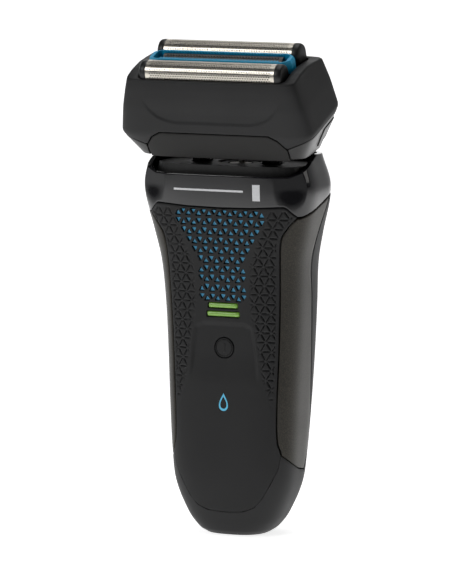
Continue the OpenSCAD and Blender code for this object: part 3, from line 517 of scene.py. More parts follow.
@dataclass
class Handle(Form):
    """The handle's outer form: rounded sections at stations up its height, in millimetres."""

    height: float = 121.5
    grip_w: float = 45.4
    grip_front: float = 13.6
    grip_back: float = 16.6
    collar_w: float = 58.6
    collar_front: float = 18.2
    collar_back: float = 14.2
    base_w: float = 20.0
    base_d: float = 19.0
    flare: float = 2.2
    skin: float = 1.7
    gap: float = 0.24
    button_z: float = 61.0
    button_d: float = 6.2
    led_z: float = 71.9
    led_w: float = 11.4
    led_h: float = 1.7
    led_pitch: float = 2.75

    def __post_init__(self) -> None:
        """Works out the stations: height, half width, front, back and roundness power."""
        gw, cw, h = self.grip_w / 2, self.collar_w / 2, self.height
        gf, gb, cf, cb = self.grip_front, self.grip_back, self.collar_front, self.collar_back
        bw, bd = self.base_w / 2, self.base_d / 2
        self.stations = np.array([
            [0, bw, -bd, bd, 2.6], [1.5, bw + self.flare, -bd - 1.5, bd + 1, 2.8],
            [6, gw - 6.9, 1.6 - gf, gb - 5.6, 3], [16, gw - 2.7, 0.4 - gf, gb - 4.1, 3.3],
            [26, gw - 1.5, -gf, gb - 3, 3.5], [42, gw - 0.7, -gf, gb - 1.4, 3.8],
            [58, gw, -gf, gb, 3.8], [74, gw + 0.7, -gf - 0.5, gb + 0.4, 3.8],
            [h - 33.5, gw + 1.7, 2.9 - cf, cb + 1.6, 3.8],
            [h - 23.5, cw - 2.8, 1.6 - cf, cb + 0.8, 3.8],
            [h - 13.5, cw - 0.3, 0.4 - cf, cb + 0.3, 3.8], [h - 7.5, cw, -cf, cb, 3.8],
            [h, cw - 1.8, -cf - 0.2, cb - 1.7, 3.6]])

    @property
    def panel_top(self) -> float:
        """Height of the rubber panel's top edge at its shoulders."""
        return self.height - 14.7

    def at(self, z: Array) -> Array:
        """Section sizes at heights: a cubic through the stations, slopes from the neighbours."""
        s = self.stations
        zs = s[:, 0]
        slope = np.empty_like(s)
        slope[1:-1] = (s[2:] - s[:-2]) / (zs[2:] - zs[:-2])[:, None]
        slope[0], slope[-1] = (s[1] - s[0]) / zs[1], (s[-1] - s[-2]) / (zs[-1] - zs[-2])
        i = np.clip(np.searchsorted(zs, z) - 1, 0, len(zs) - 2)
        d = zs[i + 1] - zs[i]
        t = ((z - zs[i]) / d)[..., None]
        d = d[..., None]
        return hermite(t, s[i], s[i + 1], slope[i] * d, slope[i + 1] * d)

    def angle_of_x(self, x: Array, z: Array) -> Array:
        """Section angle, on the front, of the point with the given x: negative from +X."""
        return front_angle(x, self.at(np.asarray(z, dtype=float)))

    def angle_of_y(self, y: Array, z: Array) -> Array:
        """Section angle, on the +X side, of the point with the given y."""
        k = self.at(np.asarray(z, dtype=float))
        yc, b = (k[..., 2] + k[..., 3]) / 2, (k[..., 3] - k[..., 2]) / 2
        share = np.clip((y - yc) / b, -1, 1)
        return np.sign(share) * np.arcsin(np.abs(share) ** (k[..., 4] / 2))

    def panel_edge(self, z: Array) -> Array:
        """Half width of the rubber panel at a height."""
        pt, bz = self.panel_top, self.button_z
        zs = [8.2, 9.9, 13.1, 18.1, 23.4, 27, 31, 36, bz - 1, bz + 18, pt - 14.5, pt - 10,
              pt - 6.5, pt - 3]
        xs = [6, 10.1, 12.8, 15.6, 17.9, 18.5, 17.6, 17.4, 18.2, 18.9, 19.5, 20.2, 22.3, 25.3]
        return cubic(z, zs, xs)

    def panel_crown(self, x: Array) -> Array:
        """Height of the rubber panel's top edge at a distance from the middle."""
        pt = self.panel_top
        return np.interp(np.abs(x), [0, 11, 20.5, 21.8, 22.6, 25.3],
                         [pt - 0.6, pt - 0.4, pt + 0.2, pt + 0.2, pt - 0.2, pt - 3])

    def grip_rear(self, z: Array) -> Array:
        """How far back the side grip reaches at a height."""
        pt, bz = self.panel_top, self.button_z
        return cubic(z, [20, 23.2, 30, bz - 11, bz + 15, pt - 17, pt - 6, pt + 2.7],
                     [3.5, 5, 7.6, 6, 3.6, 0.9, 2.2, 4.6])


def cubic(x: Array, xs: Sequence[float], ys: Sequence[float]) -> Array:
    """Monotone cubic through points: slopes are the harmonic mean of the neighbours' slopes."""
    xs, ys = np.asarray(xs, dtype=float), np.asarray(ys, dtype=float)
    h = np.diff(xs)
    d = np.diff(ys) / h
    m = np.zeros_like(xs)
    same = d[:-1] * d[1:] > 0
    m[1:-1][same] = 2 * d[:-1][same] * d[1:][same] / (d[:-1] + d[1:])[same]
    m[0], m[-1] = d[0], d[-1]
    i = np.clip(np.searchsorted(xs, x) - 1, 0, len(xs) - 2)
    t = np.clip((x - xs[i]) / h[i], 0, 1)
    return hermite(t, ys[i], ys[i + 1], m[i] * h[i], m[i + 1] * h[i])


# ---------------------------------------------------------------- handle
@dataclass
class GripPattern:
    """The rubber panel's relief: a triangle lattice, blue pits, a thumb dish and light slots."""

    pitch: float = 3.6
    row: float = 3.05
    top: float = 106.2
    groove: float = 0.3
    groove_deep: float = 0.42
    pit_inset: float = 0.44
    pit_deep: float = 1.15
    pit_rows: tuple[float, ...] = (15.1, 14.4, 12.7, 11.0, 9.8, 8.1, 7.3, 7.3, 7.9, 8.0)
    fade_z: tuple[float, ...] = (38, 46, 52, 58, 65, 70, 76, 88, 106)
    fade_x: tuple[float, ...] = (17.5, 15.5, 13.5, 12.5, 11.5, 10.5, 9.7, 10.2, 17.0)
    dish_deep: float = 0.75
    well_deep: float = 0.93
    slot_deep: float = 0.9

    def lattice(self, x: Array, z: Array) -> tuple[Array, Array, Array, Array]:
        """Measures places in the lattice.

        Args:
            x: Distances across the panel.
            z: Heights.

        Returns:
            The distance to the nearest line, the distance to the nearest corner, the row, and
            the x of the middle of the triangle that holds the place.
        """
        v = (self.top - z) / self.row
        one, two = x / self.pitch + v / 2, x / self.pitch - v / 2
        lean = self.row / math.hypot(self.row, self.pitch / 2) * self.pitch
        line = np.minimum(np.abs(v - np.round(v)) * self.row,
                          np.minimum(np.abs(one - np.round(one)), np.abs(two - np.round(two)))
                          * lean)
        k = np.round(v)
        across = x / self.pitch - np.mod(k, 2) / 2
        corner = np.hypot((across - np.round(across)) * self.pitch, (v - k) * self.row)
        row = np.floor(v)
        step = x / self.pitch - np.mod(row, 2) / 2
        apex = np.round(step)
        off = step - apex
        up = np.abs(off) < (v - row) / 2
        middle = np.where(up, apex, apex + np.sign(off) / 2) + np.mod(row, 2) / 2
        return line, corner, row, middle * self.pitch

    def pits(self, x: Array, z: Array) -> Array:
        """One on a pit's floor, nought on the lands, sloping between over the pit's wall."""
        line, _, row, middle = self.lattice(x, z)
        inside = (row >= 0) & (row < len(self.pit_rows))
        width = np.array(self.pit_rows)[np.clip(row, 0, len(self.pit_rows) - 1).astype(int)]
        return inside * (np.abs(middle) <= width) * smooth(line, self.pit_inset,
                                                           self.pit_inset + 0.16)

    def relief(self, shape: Handle, x: Array, z: Array, margin: Array) -> Array:
        """Depth of the whole relief at places of the panel.

        Args:
            shape: The handle's form.
            x: Distances across the panel.
            z: Heights.
            margin: Distances in from the panel's edge.

        Returns:
            Depths in millimetres, positive inwards.
        """
        line, corner, _, _ = self.lattice(x, z)
        inner = np.interp(z, self.fade_z, self.fade_x)
        share = smooth(np.abs(x), inner - 0.9, inner + 0.9) * smooth(z, 35.5, 38.5)
        share *= smooth(margin, 0.9, 1.2) * smooth(corner, 0.25, 0.8)
        depth = share * self.groove_deep * (1 - smooth(line, 0.04, self.groove))
        depth = np.maximum(depth, self.pit_deep * self.pits(x, z))
        depth = np.maximum(depth, self.dish(shape, x, z))
        for k, width in enumerate((shape.led_w - 0.3, shape.led_w - 1.5)):
            dx = np.abs(x) - width / 2 + 0.3
            dz = np.abs(z - shape.led_z - k * shape.led_pitch) - shape.led_h / 2 + 0.4
            edge = np.hypot(np.maximum(dx, 0), np.maximum(dz, 0)) - 0.45
            depth = np.maximum(depth, self.slot_deep * (1 - smooth(edge, -0.05, 0.15)))
        radius = np.hypot(x, z - shape.button_z)
        hole = shape.button_d / 2 + 0.25
        return depth + self.well_deep * (1 - smooth(radius, hole - 0.1, hole + 0.1))

    def dish(self, shape: Handle, x: Array, z: Array) -> Array:
        """Depth of the arched dish round the button, which runs out downwards."""
        up = z - shape.button_z
        half = np.interp(up, [-12, 0, 7], [12.6, 11.4, 10.3])
        top = 8.6 - 1.3 * smooth(np.abs(x), 6.5, 10.4)
        fall = smooth(top - up, 0, 1.7) * smooth(half - np.abs(x), 0, 1.5)
        return self.dish_deep * fall * smooth(up, -12, -2)


@dataclass
class HandleSkins:
    """The handle's outer pieces: rubber panel, blue insert, grips, collar and rear shell."""

    shape: Handle
    pattern: GripPattern = field(default_factory=GripPattern)
    panel_rows: int = 330
    panel_cols: int = 215
    grip_edge: float = 0.55
    wall: float = 1.5
    collar_rise: float = 2.0
    facet_deg: float = 30.0
    facet_reach: float = 24.4
    screw_x: float = 11.5
    screw_z: float = 20.0
    drop_z: float = 43.6
    drop_half: tuple[float, float] = (2.2, 2.9)
    well_x: float = 13.8
    well_z: tuple[float, float] = (74.3, 102.8)
    latch_x: float = 4.0
    latch_z: tuple[float, float] = (61.1, 68.1)
    crown: tuple[tuple[float, ...], ...] = ((-80, -12, 4.6, 7, 40), (-2.4, 0, 5.7, 6.6, 6.6))

    def crown_z(self, y: Array) -> Array:
        """Height of the seam between the grips and the collar, seen from the side."""
        return np.interp(y, self.crown[0], self.crown[1]) + self.shape.panel_top - 3

    @staticmethod
    def grip_foot(y: Array) -> Array:
        """Height of the seam under the side grips, seen from the side."""
        return cubic(y, [-80, -13, -11, -8, -4, 0, 5, 80],
                     [29.4, 29.2, 27.4, 25, 22.8, 21.3, 20.6, 20.6])

    def drop(self, points: Array, depth: Array) -> Array:
        """Moves a grid of points in along its own normals, which point away from the axis."""
        n = normals(points)
        mid = points.mean(axis=(0, 1)) * [0, 0, 1]
        side = np.sign(np.einsum("ijk,ijk->ij", n, points - mid).sum())
        return points - n * side * depth[..., None]

    def panel_grid(self, rows: int, cols: int, lo: float, hi: float,
                   half: float | None = None) -> tuple[Array, Array]:
        """Lays a grid of points on the panel's part of the handle.

        Args:
            rows: Number of rows.
            cols: Number of columns.
            lo: Lowest height, or a negative number for the panel's own foot.
            hi: Highest height, or a negative number for the panel's own top.
            half: Half width, where it isn't the panel's own.

        Returns:
            Points, and each one's distance in from the panel's edge.
        """
        s = eased(cols, 0.008, 3) * 2 - 1
        top = self.shape.panel_crown(25.3 * s) if hi < 0 else np.full(cols, hi)
        foot = 7.8 + 0.4 * s * s if lo < 0 else np.full(cols, lo)
        dense = 0.8
        u = np.linspace(0, 1, rows)
        fine = np.where(u < 1 - dense, u / (1 - dense) * 0.3, 0.3 + (u - 1 + dense) / dense * 0.7)
        z = foot + (top - foot) * fine[:, None]
        edge = self.shape.panel_edge(z) if half is None else np.full_like(z, half)
        x = s * edge
        margin = np.minimum(edge - np.abs(x), np.minimum(top - z, z - foot))
        return self.shape.point(z, self.shape.angle_of_x(x, z)), margin

    def build_panel(self) -> None:
        """Builds the rubber panel with its relief, and the blue insert behind the pits."""
        points, margin = self.panel_grid(self.panel_rows, self.panel_cols, -1, -1)
        x, z = points[..., 0], points[..., 2]
        soft = 0.15 + 0.3 * smooth(z, 20, 30)
        depth = self.pattern.relief(self.shape, x, z, margin) + rounding(margin, soft)
        outer = self.drop(points, depth)
        inner = self.drop(points, np.full_like(depth, self.shape.skin))
        put("front_grip_panel_visual", *thin_back_slab(outer, inner, 25), PANEL_RUBBER, "handle",
            ["front_grip_panel"], "rubber_black", 60)
        points, _ = self.panel_grid(120, 120, 75.9, 105.4, 15.4)
        x, z = points[..., 0], points[..., 2]
        row = np.clip((self.pattern.top - z) / self.pattern.row, 0, 9.99).astype(int)
        keep = np.abs(x) <= np.array(self.pattern.pit_rows)[row] + 1.2
        outer = self.drop(points, np.where(keep, 0.72, 1.3))
        put("blue_insert", *slab(outer, self.drop(points, np.full_like(x, 1.6))), BLUE_INSERT,
            "handle", ["blue_inlay"], "blue_plastic", 60)

    def build_lights(self) -> None:
        """Builds the two light bars: rounded, slightly bulged lenses in the panel's slots."""
        for k, name in enumerate(("lower", "upper")):
            half = (self.shape.led_w - 0.3 - 1.2 * k) / 2
            zc = self.shape.led_z + k * self.shape.led_pitch
            tall = self.shape.led_h / 2 - 0.1
            u, v = np.meshgrid(np.linspace(-1, 1, 49), np.linspace(-1, 1, 17))
            pull = 0.35 * (1 - np.sqrt(np.maximum(1 - v**4, 0)))
            x, z = u * (half - pull), zc + v * tall
            points = self.shape.point(z, self.shape.angle_of_x(x, z))
            bulge = 0.42 - 0.5 * (1 - v**2) ** 0.5 * (1 - u**16) ** 0.5
            outer = self.drop(points, bulge)
            inner = self.drop(points, np.full_like(x, 1.5))
            put(f"light_bar_{name}", *slab(outer, inner), GREEN_LENS, "handle",
                [f"led_lens_{name}"], "green_lens", 50)

    def build_button(self) -> None:
        """Builds the power button: a low dome with a ring step, and a plain bar mark on it."""
        zc, r = self.shape.button_z, self.shape.button_d / 2
        y0 = float(self.shape.at(np.array(zc))[2]) + self.pattern.dish_deep
        rad = np.array([0, 0.4, 1, 1.7, 2.3, 2.55, 2.62, 2.75, 2.82, 2.95, r, r])
        out = np.array([0.1, 0.1, 0.1, 0.09, 0.07, 0.05, -0.1, -0.1, 0.1, 0.08, -0.04, -0.2])
        turn = turns(64)
        x, z = rad[:, None] * np.cos(turn), zc + rad[:, None] * np.sin(turn)
        y = np.broadcast_to((y0 - out)[:, None], x.shape)
        grid = np.stack([x, y, z], -1)
        faces = disc(len(rad), 64)
        u, v = np.meshgrid(np.linspace(-1, 1, 7), np.linspace(-1, 1, 25))
        lift = 0.14 * (1 - u**6) * (1 - v**12)
        bar = np.stack([u * 0.4, y0 - 0.08 - lift, zc + v * 1.6], -1)
        back = bar + [0, 0.3, 0]
        back[..., 1] = y0 + 0.05
        put("power_button_visual", *join((grid, faces), slab(bar, back)), PANEL_RUBBER, "button",
            ["power_button"], "rubber_black", 40)

    def build_grip(self, side: int) -> None:
        """Builds one side grip: a lacquered shell with softly rounded edges.

        Args:
            side: -1 for the left grip and 1 for the right one.
        """
        shape, rows, cols = self.shape, 190, 60
        w = eased(cols, 0.03, 6)
        z_lo, z_hi = np.full(cols, 25.0), np.full(cols, 104.0)
        for _ in range(6):
            ends = []
            for z in (z_lo, z_hi):
                q = self.grip_angles(z, w)
                ends.append(shape.point(z, q)[..., 1])
            z_lo = self.grip_foot(ends[0]) + shape.gap / 2
            z_hi = self.crown_z(ends[1]) - shape.gap
        u = eased(rows, 0.012, 6)[:, None]
        z = z_lo + (z_hi - z_lo) * u
        points = shape.point(z, self.grip_angles(z, w))
        arc = arc_length(points)
        margin = np.minimum(np.minimum(arc, arc[:, -1:] - arc),
                            np.minimum(z - z_lo, z_hi - z))
        outer = self.drop(points, rounding(margin, self.grip_edge))
        inner = self.drop(points, np.full_like(z, shape.skin))
        flip = [side, 1, 1]
        name = "left" if side < 0 else "right"
        put(f"side_grip_{name}_visual", *slab(outer * flip, inner * flip), GUNMETAL, "handle",
            [f"side_grip_{name}"], "gunmetal", 40)

    def grip_angles(self, z: Array, w: Array) -> Array:
        """Section angles across a grip: w is 0 at the panel and 1 at the grip's rear edge."""
        shape = self.shape
        start = shape.angle_of_x(shape.panel_edge(z) + shape.gap, z)
        stop = shape.angle_of_y(shape.grip_rear(z) - shape.gap / 2, z)
        return start + (stop - start) * w

    def build_collar(self) -> None:
        """Builds the gloss collar: a faceted ring between the grips and the neck."""
        shape, cols = self.shape, 420
        q = turns(cols, -1.5 * math.pi)
        z_lo = np.full(cols, 108.0)
        for _ in range(6):
            p = shape.point(z_lo, q)
            front = (p[..., 1] < 0) & (np.abs(p[..., 0]) < 25.3)
            z_lo = self.crown_z(p[..., 1]) + shape.gap
            over = np.maximum(z_lo, shape.panel_crown(p[..., 0]) + shape.gap)
            z_lo = np.where(front, over, z_lo)
        top_y = shape.point(np.full(cols, shape.height - 1), q)[..., 1]
        dip = np.interp(-top_y, [7, 16], [0, 4.1])
        z_hi = shape.height - 0.5 - dip + self.collar_rise * smooth(top_y, -8, 0)
        u = eased(40, 0.03, 6)[:, None]
        z = z_lo + (z_hi - z_lo) * u
        points = self.facet(shape.point(z, q))
        n = outward(points, wrap=True)
        margin = np.minimum(z - z_lo, z_hi - z)
        outer = points - n * rounding(margin, 0.35)[..., None]
        inner = self.facet(shape.point(z, q, self.wall))[::-1]
        put("top_collar_visual", *torus(np.concatenate([outer, inner])), GLOSS_BLACK, "handle",
            ["top_collar"], "gloss_black", 22)

    def facet(self, points: Array) -> Array:
        """Cuts the collar's front corners flat: whatever stands past a plane is pressed onto it."""
        x, y = np.abs(points[..., 0]), points[..., 1].copy()
        share = smooth(points[..., 2], 102, 113) * smooth(-y, -4, 1)
        turn = math.radians(self.facet_deg)
        nx, ny = math.sin(turn), -math.cos(turn)
        over = np.maximum(x * nx + y * ny - self.facet_reach, 0) * share
        x, y = x - over * nx, y - over * ny
        return np.stack([np.copysign(x, points[..., 0]), y, points[..., 2]], -1)

    def build_rear(self) -> None:
        """Builds the rear shell: a back between the grips, and a cup round the bottom end."""
        shape, rows, cols = self.shape, 150, 110
        foot = 20.3
        z_hi = shape.panel_top + 3.4
        z = foot + (z_hi - foot) * np.linspace(0, 1, rows)[:, None]
        w = eased(cols, 0.012, 4)
        q = shape.angle_of_y(shape.grip_rear(z) + shape.gap / 2, z)
        points = shape.point(z, q + (math.pi - 2 * q) * w)
        arc = arc_length(points)
        margin = np.minimum(np.minimum(arc, arc[:, -1:] - arc), z_hi - z)
        sunk = self.trimmer_space(points)
        outer = self.drop(points, np.maximum(rounding(margin, 0.4), sunk * 1.3))
        inner = self.drop(points, np.full(margin.shape, self.wall))
        put("rear_shell_back", *slab(outer, inner), SOFT_BLACK, "handle", ["rear_shell"],
            "soft_black", 50)
        cols = 300
        q = turns(cols, -1.5 * math.pi)
        top = settle(np.full(cols, 20.0), lambda z: self.cup_top(shape.point(z, q)))
        u = np.linspace(0, 1, 60)[:, None] ** 1.5
        points = shape.point(top * u, q)
        n = outward(points, wrap=True)
        edge = rounding((top - points[..., 2]), 0.2) * (points[..., 1] < 5)
        points = points - n * edge[..., None]
        inner = shape.point(top * u[3:], q, self.wall)[::-1]
        low = shape.point(np.full(cols, 1.5), q, 2.0)
        oval = np.stack([np.cos(q) * 7.7, np.sin(q) * 4.8, np.zeros(cols)], -1)
        ring = np.concatenate([oval[None], points, inner, low[None], (oval + [0, 0, 1.5])[None]])
        put("rear_shell_cup", *torus(ring), SOFT_BLACK, "handle", ["rear_shell"], "soft_black", 50)

    def cup_top(self, points: Array) -> Array:
        """Height of the cup's top edge: under the panel, under the grips and at the rear."""
        x, y = np.abs(points[..., 0]), points[..., 1]
        under = np.interp(x, [0, 6, 10.1, 12.8, 15.6, 17.9, 18.4],
                          [7.6, 8, 9.7, 12.9, 17.9, 23.2, 26.8])
        beside = self.grip_foot(y) - self.shape.gap / 2
        return np.where(y > 5, 20.5, np.where((y < 0) & (x < 18.3), under, beside))

    def trimmer_space(self, points: Array) -> Array:
        """One where the pop-up trimmer and its latch lie in the rear shell, nought elsewhere."""
        x, z = np.abs(points[..., 0]), points[..., 2]
        well = (x < self.well_x) & (z > self.well_z[0]) & (z < self.well_z[1])
        slot = (x < self.latch_x) & (z > self.latch_z[0]) & (z < self.latch_z[1])
        return ((well | slot) & (points[..., 1] > 5)).astype(float)

    def build_screws(self) -> None:
        """Builds the two case screws: crossed pan heads that lie flush on the back's lower end.

        Each head is a disc of rings round the surface's own normal, its face sunk along a cross.
        """
        shape, solids = self.shape, []
        rad = np.array([0, 0.3, 0.6, 0.9, 1.2, 1.35, 1.5, 1.8, 2.0, 2.1, 2.1])
        dome = np.array([0.3, 0.3, 0.29, 0.28, 0.26, 0.25, 0.23, 0.18, 0.1, 0, -0.9])
        turn = turns(64)
        u, v = rad[:, None] * np.cos(turn), rad[:, None] * np.sin(turn)
        arm = np.minimum(np.maximum(np.abs(u) - 1.3, np.abs(v) - 0.3),
                         np.maximum(np.abs(v) - 1.3, np.abs(u) - 0.3))
        high = dome[:, None] - 0.6 * (1 - smooth(arm, -0.1, 0.1)) * (rad[:, None] < 1.6)
        for side in (-1, 1):
            x, z = side * self.screw_x, self.screw_z + np.array([-0.1, 0, 0.1])
            q = -shape.angle_of_x(np.array([x - 0.1, x, x + 0.1])[None, :], z[:, None])
            patch = shape.point(z[:, None], q)
            wide, up = patch[1, 2] - patch[1, 0], patch[2, 1] - patch[0, 1]
            wide, up = wide / np.linalg.norm(wide), up / np.linalg.norm(up)
            out = np.cross(up, wide)
            out = out * np.sign(out[1])
            grid = (patch[1, 1] + u[..., None] * wide + v[..., None] * up
                    + high[..., None] * out)
            solids.append((grid, disc(len(rad), 64)))
        put("case_screws_visual", *join(*solids), WIRE_STEEL, "handle", ["case_screws"])

    def build_prints(self) -> None:
        """Builds the plain marks: a pale bar and rule on the collar, a drop outline in front."""
        marks = (("bar", 5, 5, 13, 1.25, 111.6, 2.6), ("rule", 41, 3, -3.4, 12, 111.9, 0.32))
        for name, cols, rows, x_mid, x_half, z_mid, z_half in marks:
            u, v = np.meshgrid(np.linspace(-1, 1, cols), np.linspace(-1, 1, rows))
            x, z = x_mid + u * x_half, z_mid + v * z_half
            points = self.facet(self.shape.point(z, self.shape.angle_of_x(x, z)))
            put(f"collar_{name}_mark", *slab(points - [0, 0.05, 0], points + [0, 0.1, 0]),
                PALE_INK, "handle", slot="white_plastic")
        turn = turns(96)
        wide = self.drop_half[0] * np.sin(turn) * np.sin(turn / 2) ** 1.4
        tall = self.drop_half[1] * np.cos(turn)
        rings = []
        for size, lift in ((1.0, 0.04), (0.7, 0.04), (0.7, -0.05), (1.0, -0.05)):
            x, z = wide * size, self.drop_z + tall * size - 0.5 * (1 - size)
            p = self.shape.point(z, self.shape.angle_of_x(x, z))
            rings.append(p - [0, lift, 0])
        put("drop_mark", *torus(np.stack(rings)), BLUE_INK, "handle", slot="blue_plastic")


# ---------------------------------------------------------------- head
@dataclass
class HeadForm(Form):
    """The head's outer form in its own frame: straight-sided sections, in millimetres."""

    width: float = 66.2
    height: float = 29.3
    depth: float = 25.6
    tilt_deg: float = 21.0
    origin: tuple[float, float, float] = (0, -3.5, 124.0)
    crease: float = 11.3
    foil_l: float = 44.0
    foil_r: float = 3.7
    foil_pitch: float = 15.6
    cap_l: float = 2.5
    skirt: float = 6.0

    def __post_init__(self) -> None:
        """Works out the stations: height, half width, front, back and roundness power."""
        w, d, h, c = self.width / 2, self.depth / 2, self.height, self.crease
        self.stations = np.array([
            [-6, w - 9, 1.4 - d, d - 0.6, 5], [3.5, w - 4.2, -d - 0.4, d + 0.7, 7],
            [c, w, -d - 2.2, d + 1.4, 10], [c + 9, w - 1.7, -d - 1.4, d + 1, 12],
            [h - 2.5, w - 3.4, -d - 0.4, d + 0.4, 14], [h, w - 4.1, 0.2 - d, d - 0.2, 14]])

    @property
    def foil_c(self) -> float:
        """Height of the foil arches' centres."""
        return self.height + 0.8

    def world(self, points: Array) -> Array:
        """Turns points of the head's frame into the object's frame."""
        a = math.radians(self.tilt_deg)
        x, y, z = points[..., 0], points[..., 1], points[..., 2]
        return np.stack([x, y * math.cos(a) - z * math.sin(a),
                         y * math.sin(a) + z * math.cos(a)], -1) + np.array(self.origin)

    def at(self, z: Array, soften: float = 0.9) -> Array:
        """Section sizes at heights: straight between stations, averaged over the creases."""
        s = self.stations
        near = [np.stack([np.interp(z + d, s[:, 0], s[:, c]) for c in range(5)], -1)
                for d in (-soften, -soften / 3, soften / 3, soften)]
        return sum(near) / 4


@dataclass
class HeadSkins:
    """The head's outer pieces: frame, lower casing and thumb panel."""

    form: HeadForm
    cols: int = 440
    lip: float = 0.75
    wall: float = 1.5
    gap: float = 0.22
    window: tuple[float, float] = (25.3, 11.85)
    mouth: tuple[float, float] = (14.8, 8.5)
    thumb_half: float = 24.0
    thumb_t: float = 1.2

    def angles(self) -> Array:
        """Section angles all round, closer together at the corners of the rounded box."""
        t = turns(self.cols) - 1.5 * math.pi
        return t - 0.2 * np.sin(4 * t)

    def seam(self, p: Array) -> Array:
        """Height of the frame's lower edge at points of the head's side."""
        x, y = np.abs(p[..., 0]), p[..., 1]
        front = np.interp(x, [18.7, 21.6, 23.8, 24.6, 29, 32], [12.2, 10.6, 7.5, 7.5, 9.3, 10.6])
        return np.where(y < 0, front, 10.6)

    def build_frame(self) -> None:
        """Builds the soft-touch frame: a ring with a stepped front and a thin rolled lip."""
        form, q = self.form, self.angles()
        low = settle(np.full(q.shape, 10.0), lambda z: self.seam(form.point(z, q)))
        rim = self.arch(form.point(np.full(q.shape, form.height), q)[..., 1])
        top = form.height - self.lip + rim
        u = eased(74, 0.02, 6)[:, None]
        z = low + (top - low) * u
        points = form.point(z, q)
        n = outward(points, wrap=True)
        depth = rounding(z - low, 0.4) + self.step(points)
        outer = points - n * depth[..., None]
        bend = np.linspace(0, math.pi / 2, 7)[1:, None]
        round_z = top + self.lip * np.sin(bend)
        rolled = form.point(round_z, q, 0.9 * (1 - np.cos(bend)) * self.lip)
        window = rounded(q, *self.window, 14.0)
        rows = [outer, rolled]
        for share, down in ((0.5, 0.0), (0.9, 0.03), (1.0, 0.25), (1.0, 3.0), (1.0, 6.0)):
            flat = rolled[-1] + (window - rolled[-1]) * share
            flat[..., 2] = form.height - down + rim
            rows.append(flat[None])
        inner_z = low + 0.1 + (form.height - 7 - low) * np.linspace(1, 0, 8)[:, None]
        rows.append(form.point(inner_z, q, self.wall))
        ring = np.concatenate(rows)
        put("head_frame_visual", *torus(form.world(ring).reshape(ring.shape)), SOFT_BLACK,
            "cassette", ["head_frame"], "soft_black", 50)

    @staticmethod
    def rim(y: Array) -> Array:
        """Height of the lower casing's bottom edge, which drops towards the rear."""
        return -0.5 - 0.27 * y

    @staticmethod
    def arch(y: Array) -> Array:
        """How far the rim stands above the plain top: the side walls swell, the rear sinks."""
        return np.interp(y, [-12.4, -9.5, -6, -1, 4, 9, 12.4], [0, 0.45, 0.8, 0.75, 0, -1.2, -1.8])

    @staticmethod
    def step(points: Array) -> Array:
        """Depth of the shallow panel on the frame's front, bounded below by a wide curve."""
        x, y, z = np.abs(points[..., 0]), points[..., 1], points[..., 2]
        curve = np.interp(x, [0, 13, 15, 17, 19, 21.5, 23.2, 24, 24.6],
                          [15.2, 15.2, 15.6, 16.2, 17.1, 19.4, 22, 24.5, 60])
        return 0.32 * smooth(z - curve, -0.1, 0.9) * (1 - smooth(z, 18, 24)) * (y < 0)

    def build_base(self) -> None:
        """Builds the satin lower casing: a bowl with an open neck, under the frame."""
        form, q = self.form, self.angles()
        high = settle(np.full(q.shape, 10.0), lambda z: self.seam(form.point(z, q))) - self.gap
        low = settle(np.zeros(q.shape), lambda z: self.rim(form.point(z, q)[..., 1]))
        u = eased(34, 0.03, 5)[:, None]
        z = low + (high - low) * u
        points = form.point(z, q)
        n = outward(points, wrap=True)
        behind = 0.7 * smooth(24.2 - np.abs(points[..., 0]), -0.1, 0.1) * (points[..., 1] < -6)
        sunk = self.release_space(points) * 0.8
        depth = np.maximum(rounding(np.minimum(z - low, high - z), 0.5), behind)
        outer = points - n * np.maximum(depth, sunk)[..., None]
        inner = form.point(z, q, self.wall)[::-1]
        mouth = rounded(q, *self.mouth, 4.0) + [0, 0.5, 0]
        mouth[..., 2] = self.rim(mouth[..., 1])
        rows = [outer, inner, (mouth + [0, 0, 1.2])[None], mouth[None]]
        put("head_base_visual", *torus(form.world(np.concatenate(rows))), HEAD_SATIN, "head",
            ["head_base"], "gloss_black", 45)

    @staticmethod
    def release_space(points: Array) -> Array:
        """One where the release buttons lie in the casing's sides, nought elsewhere."""
        y, z = points[..., 1], points[..., 2]
        return ((np.abs(points[..., 0]) > 20) & (y > 0.75) & (y < 10.25)
                & (z > 1.35) & (z < 7.85)).astype(float)

    def build_thumb(self) -> None:
        """Builds the shield-shaped thumb panel at the head's lower front."""
        form = self.form
        s = eased(120, 0.015, 5) * 2 - 1
        x_side = self.thumb_half
        z_hi = np.interp(np.abs(s) * x_side, [0, 18.6, 21.4, 23.6, 24],
                         [12.0, 12.0, 10.4, 7.4, 6.6])
        z_lo = np.full(s.shape, 2.5)
        u = eased(60, 0.02, 5)[:, None]
        z = z_lo + (z_hi - z_lo) * u
        x = s * (x_side - 0.1 * (1 - u)) + 0 * z
        points = form.point(z, front_angle(x, form.at(z)))
        n = outward(points, axes=(0, 1, 0))
        margin = np.minimum((1 - np.abs(s)) * x_side, np.minimum(z_hi - z, z - z_lo))
        outer = points - n * rounding(margin, 0.4)[..., None]
        inner = points - n * self.thumb_t
        put("thumb_panel_visual", *slab(form.world(outer), form.world(inner)), THUMB_RUBBER,
            "head", ["thumb_panel"], "soft_black", 50)


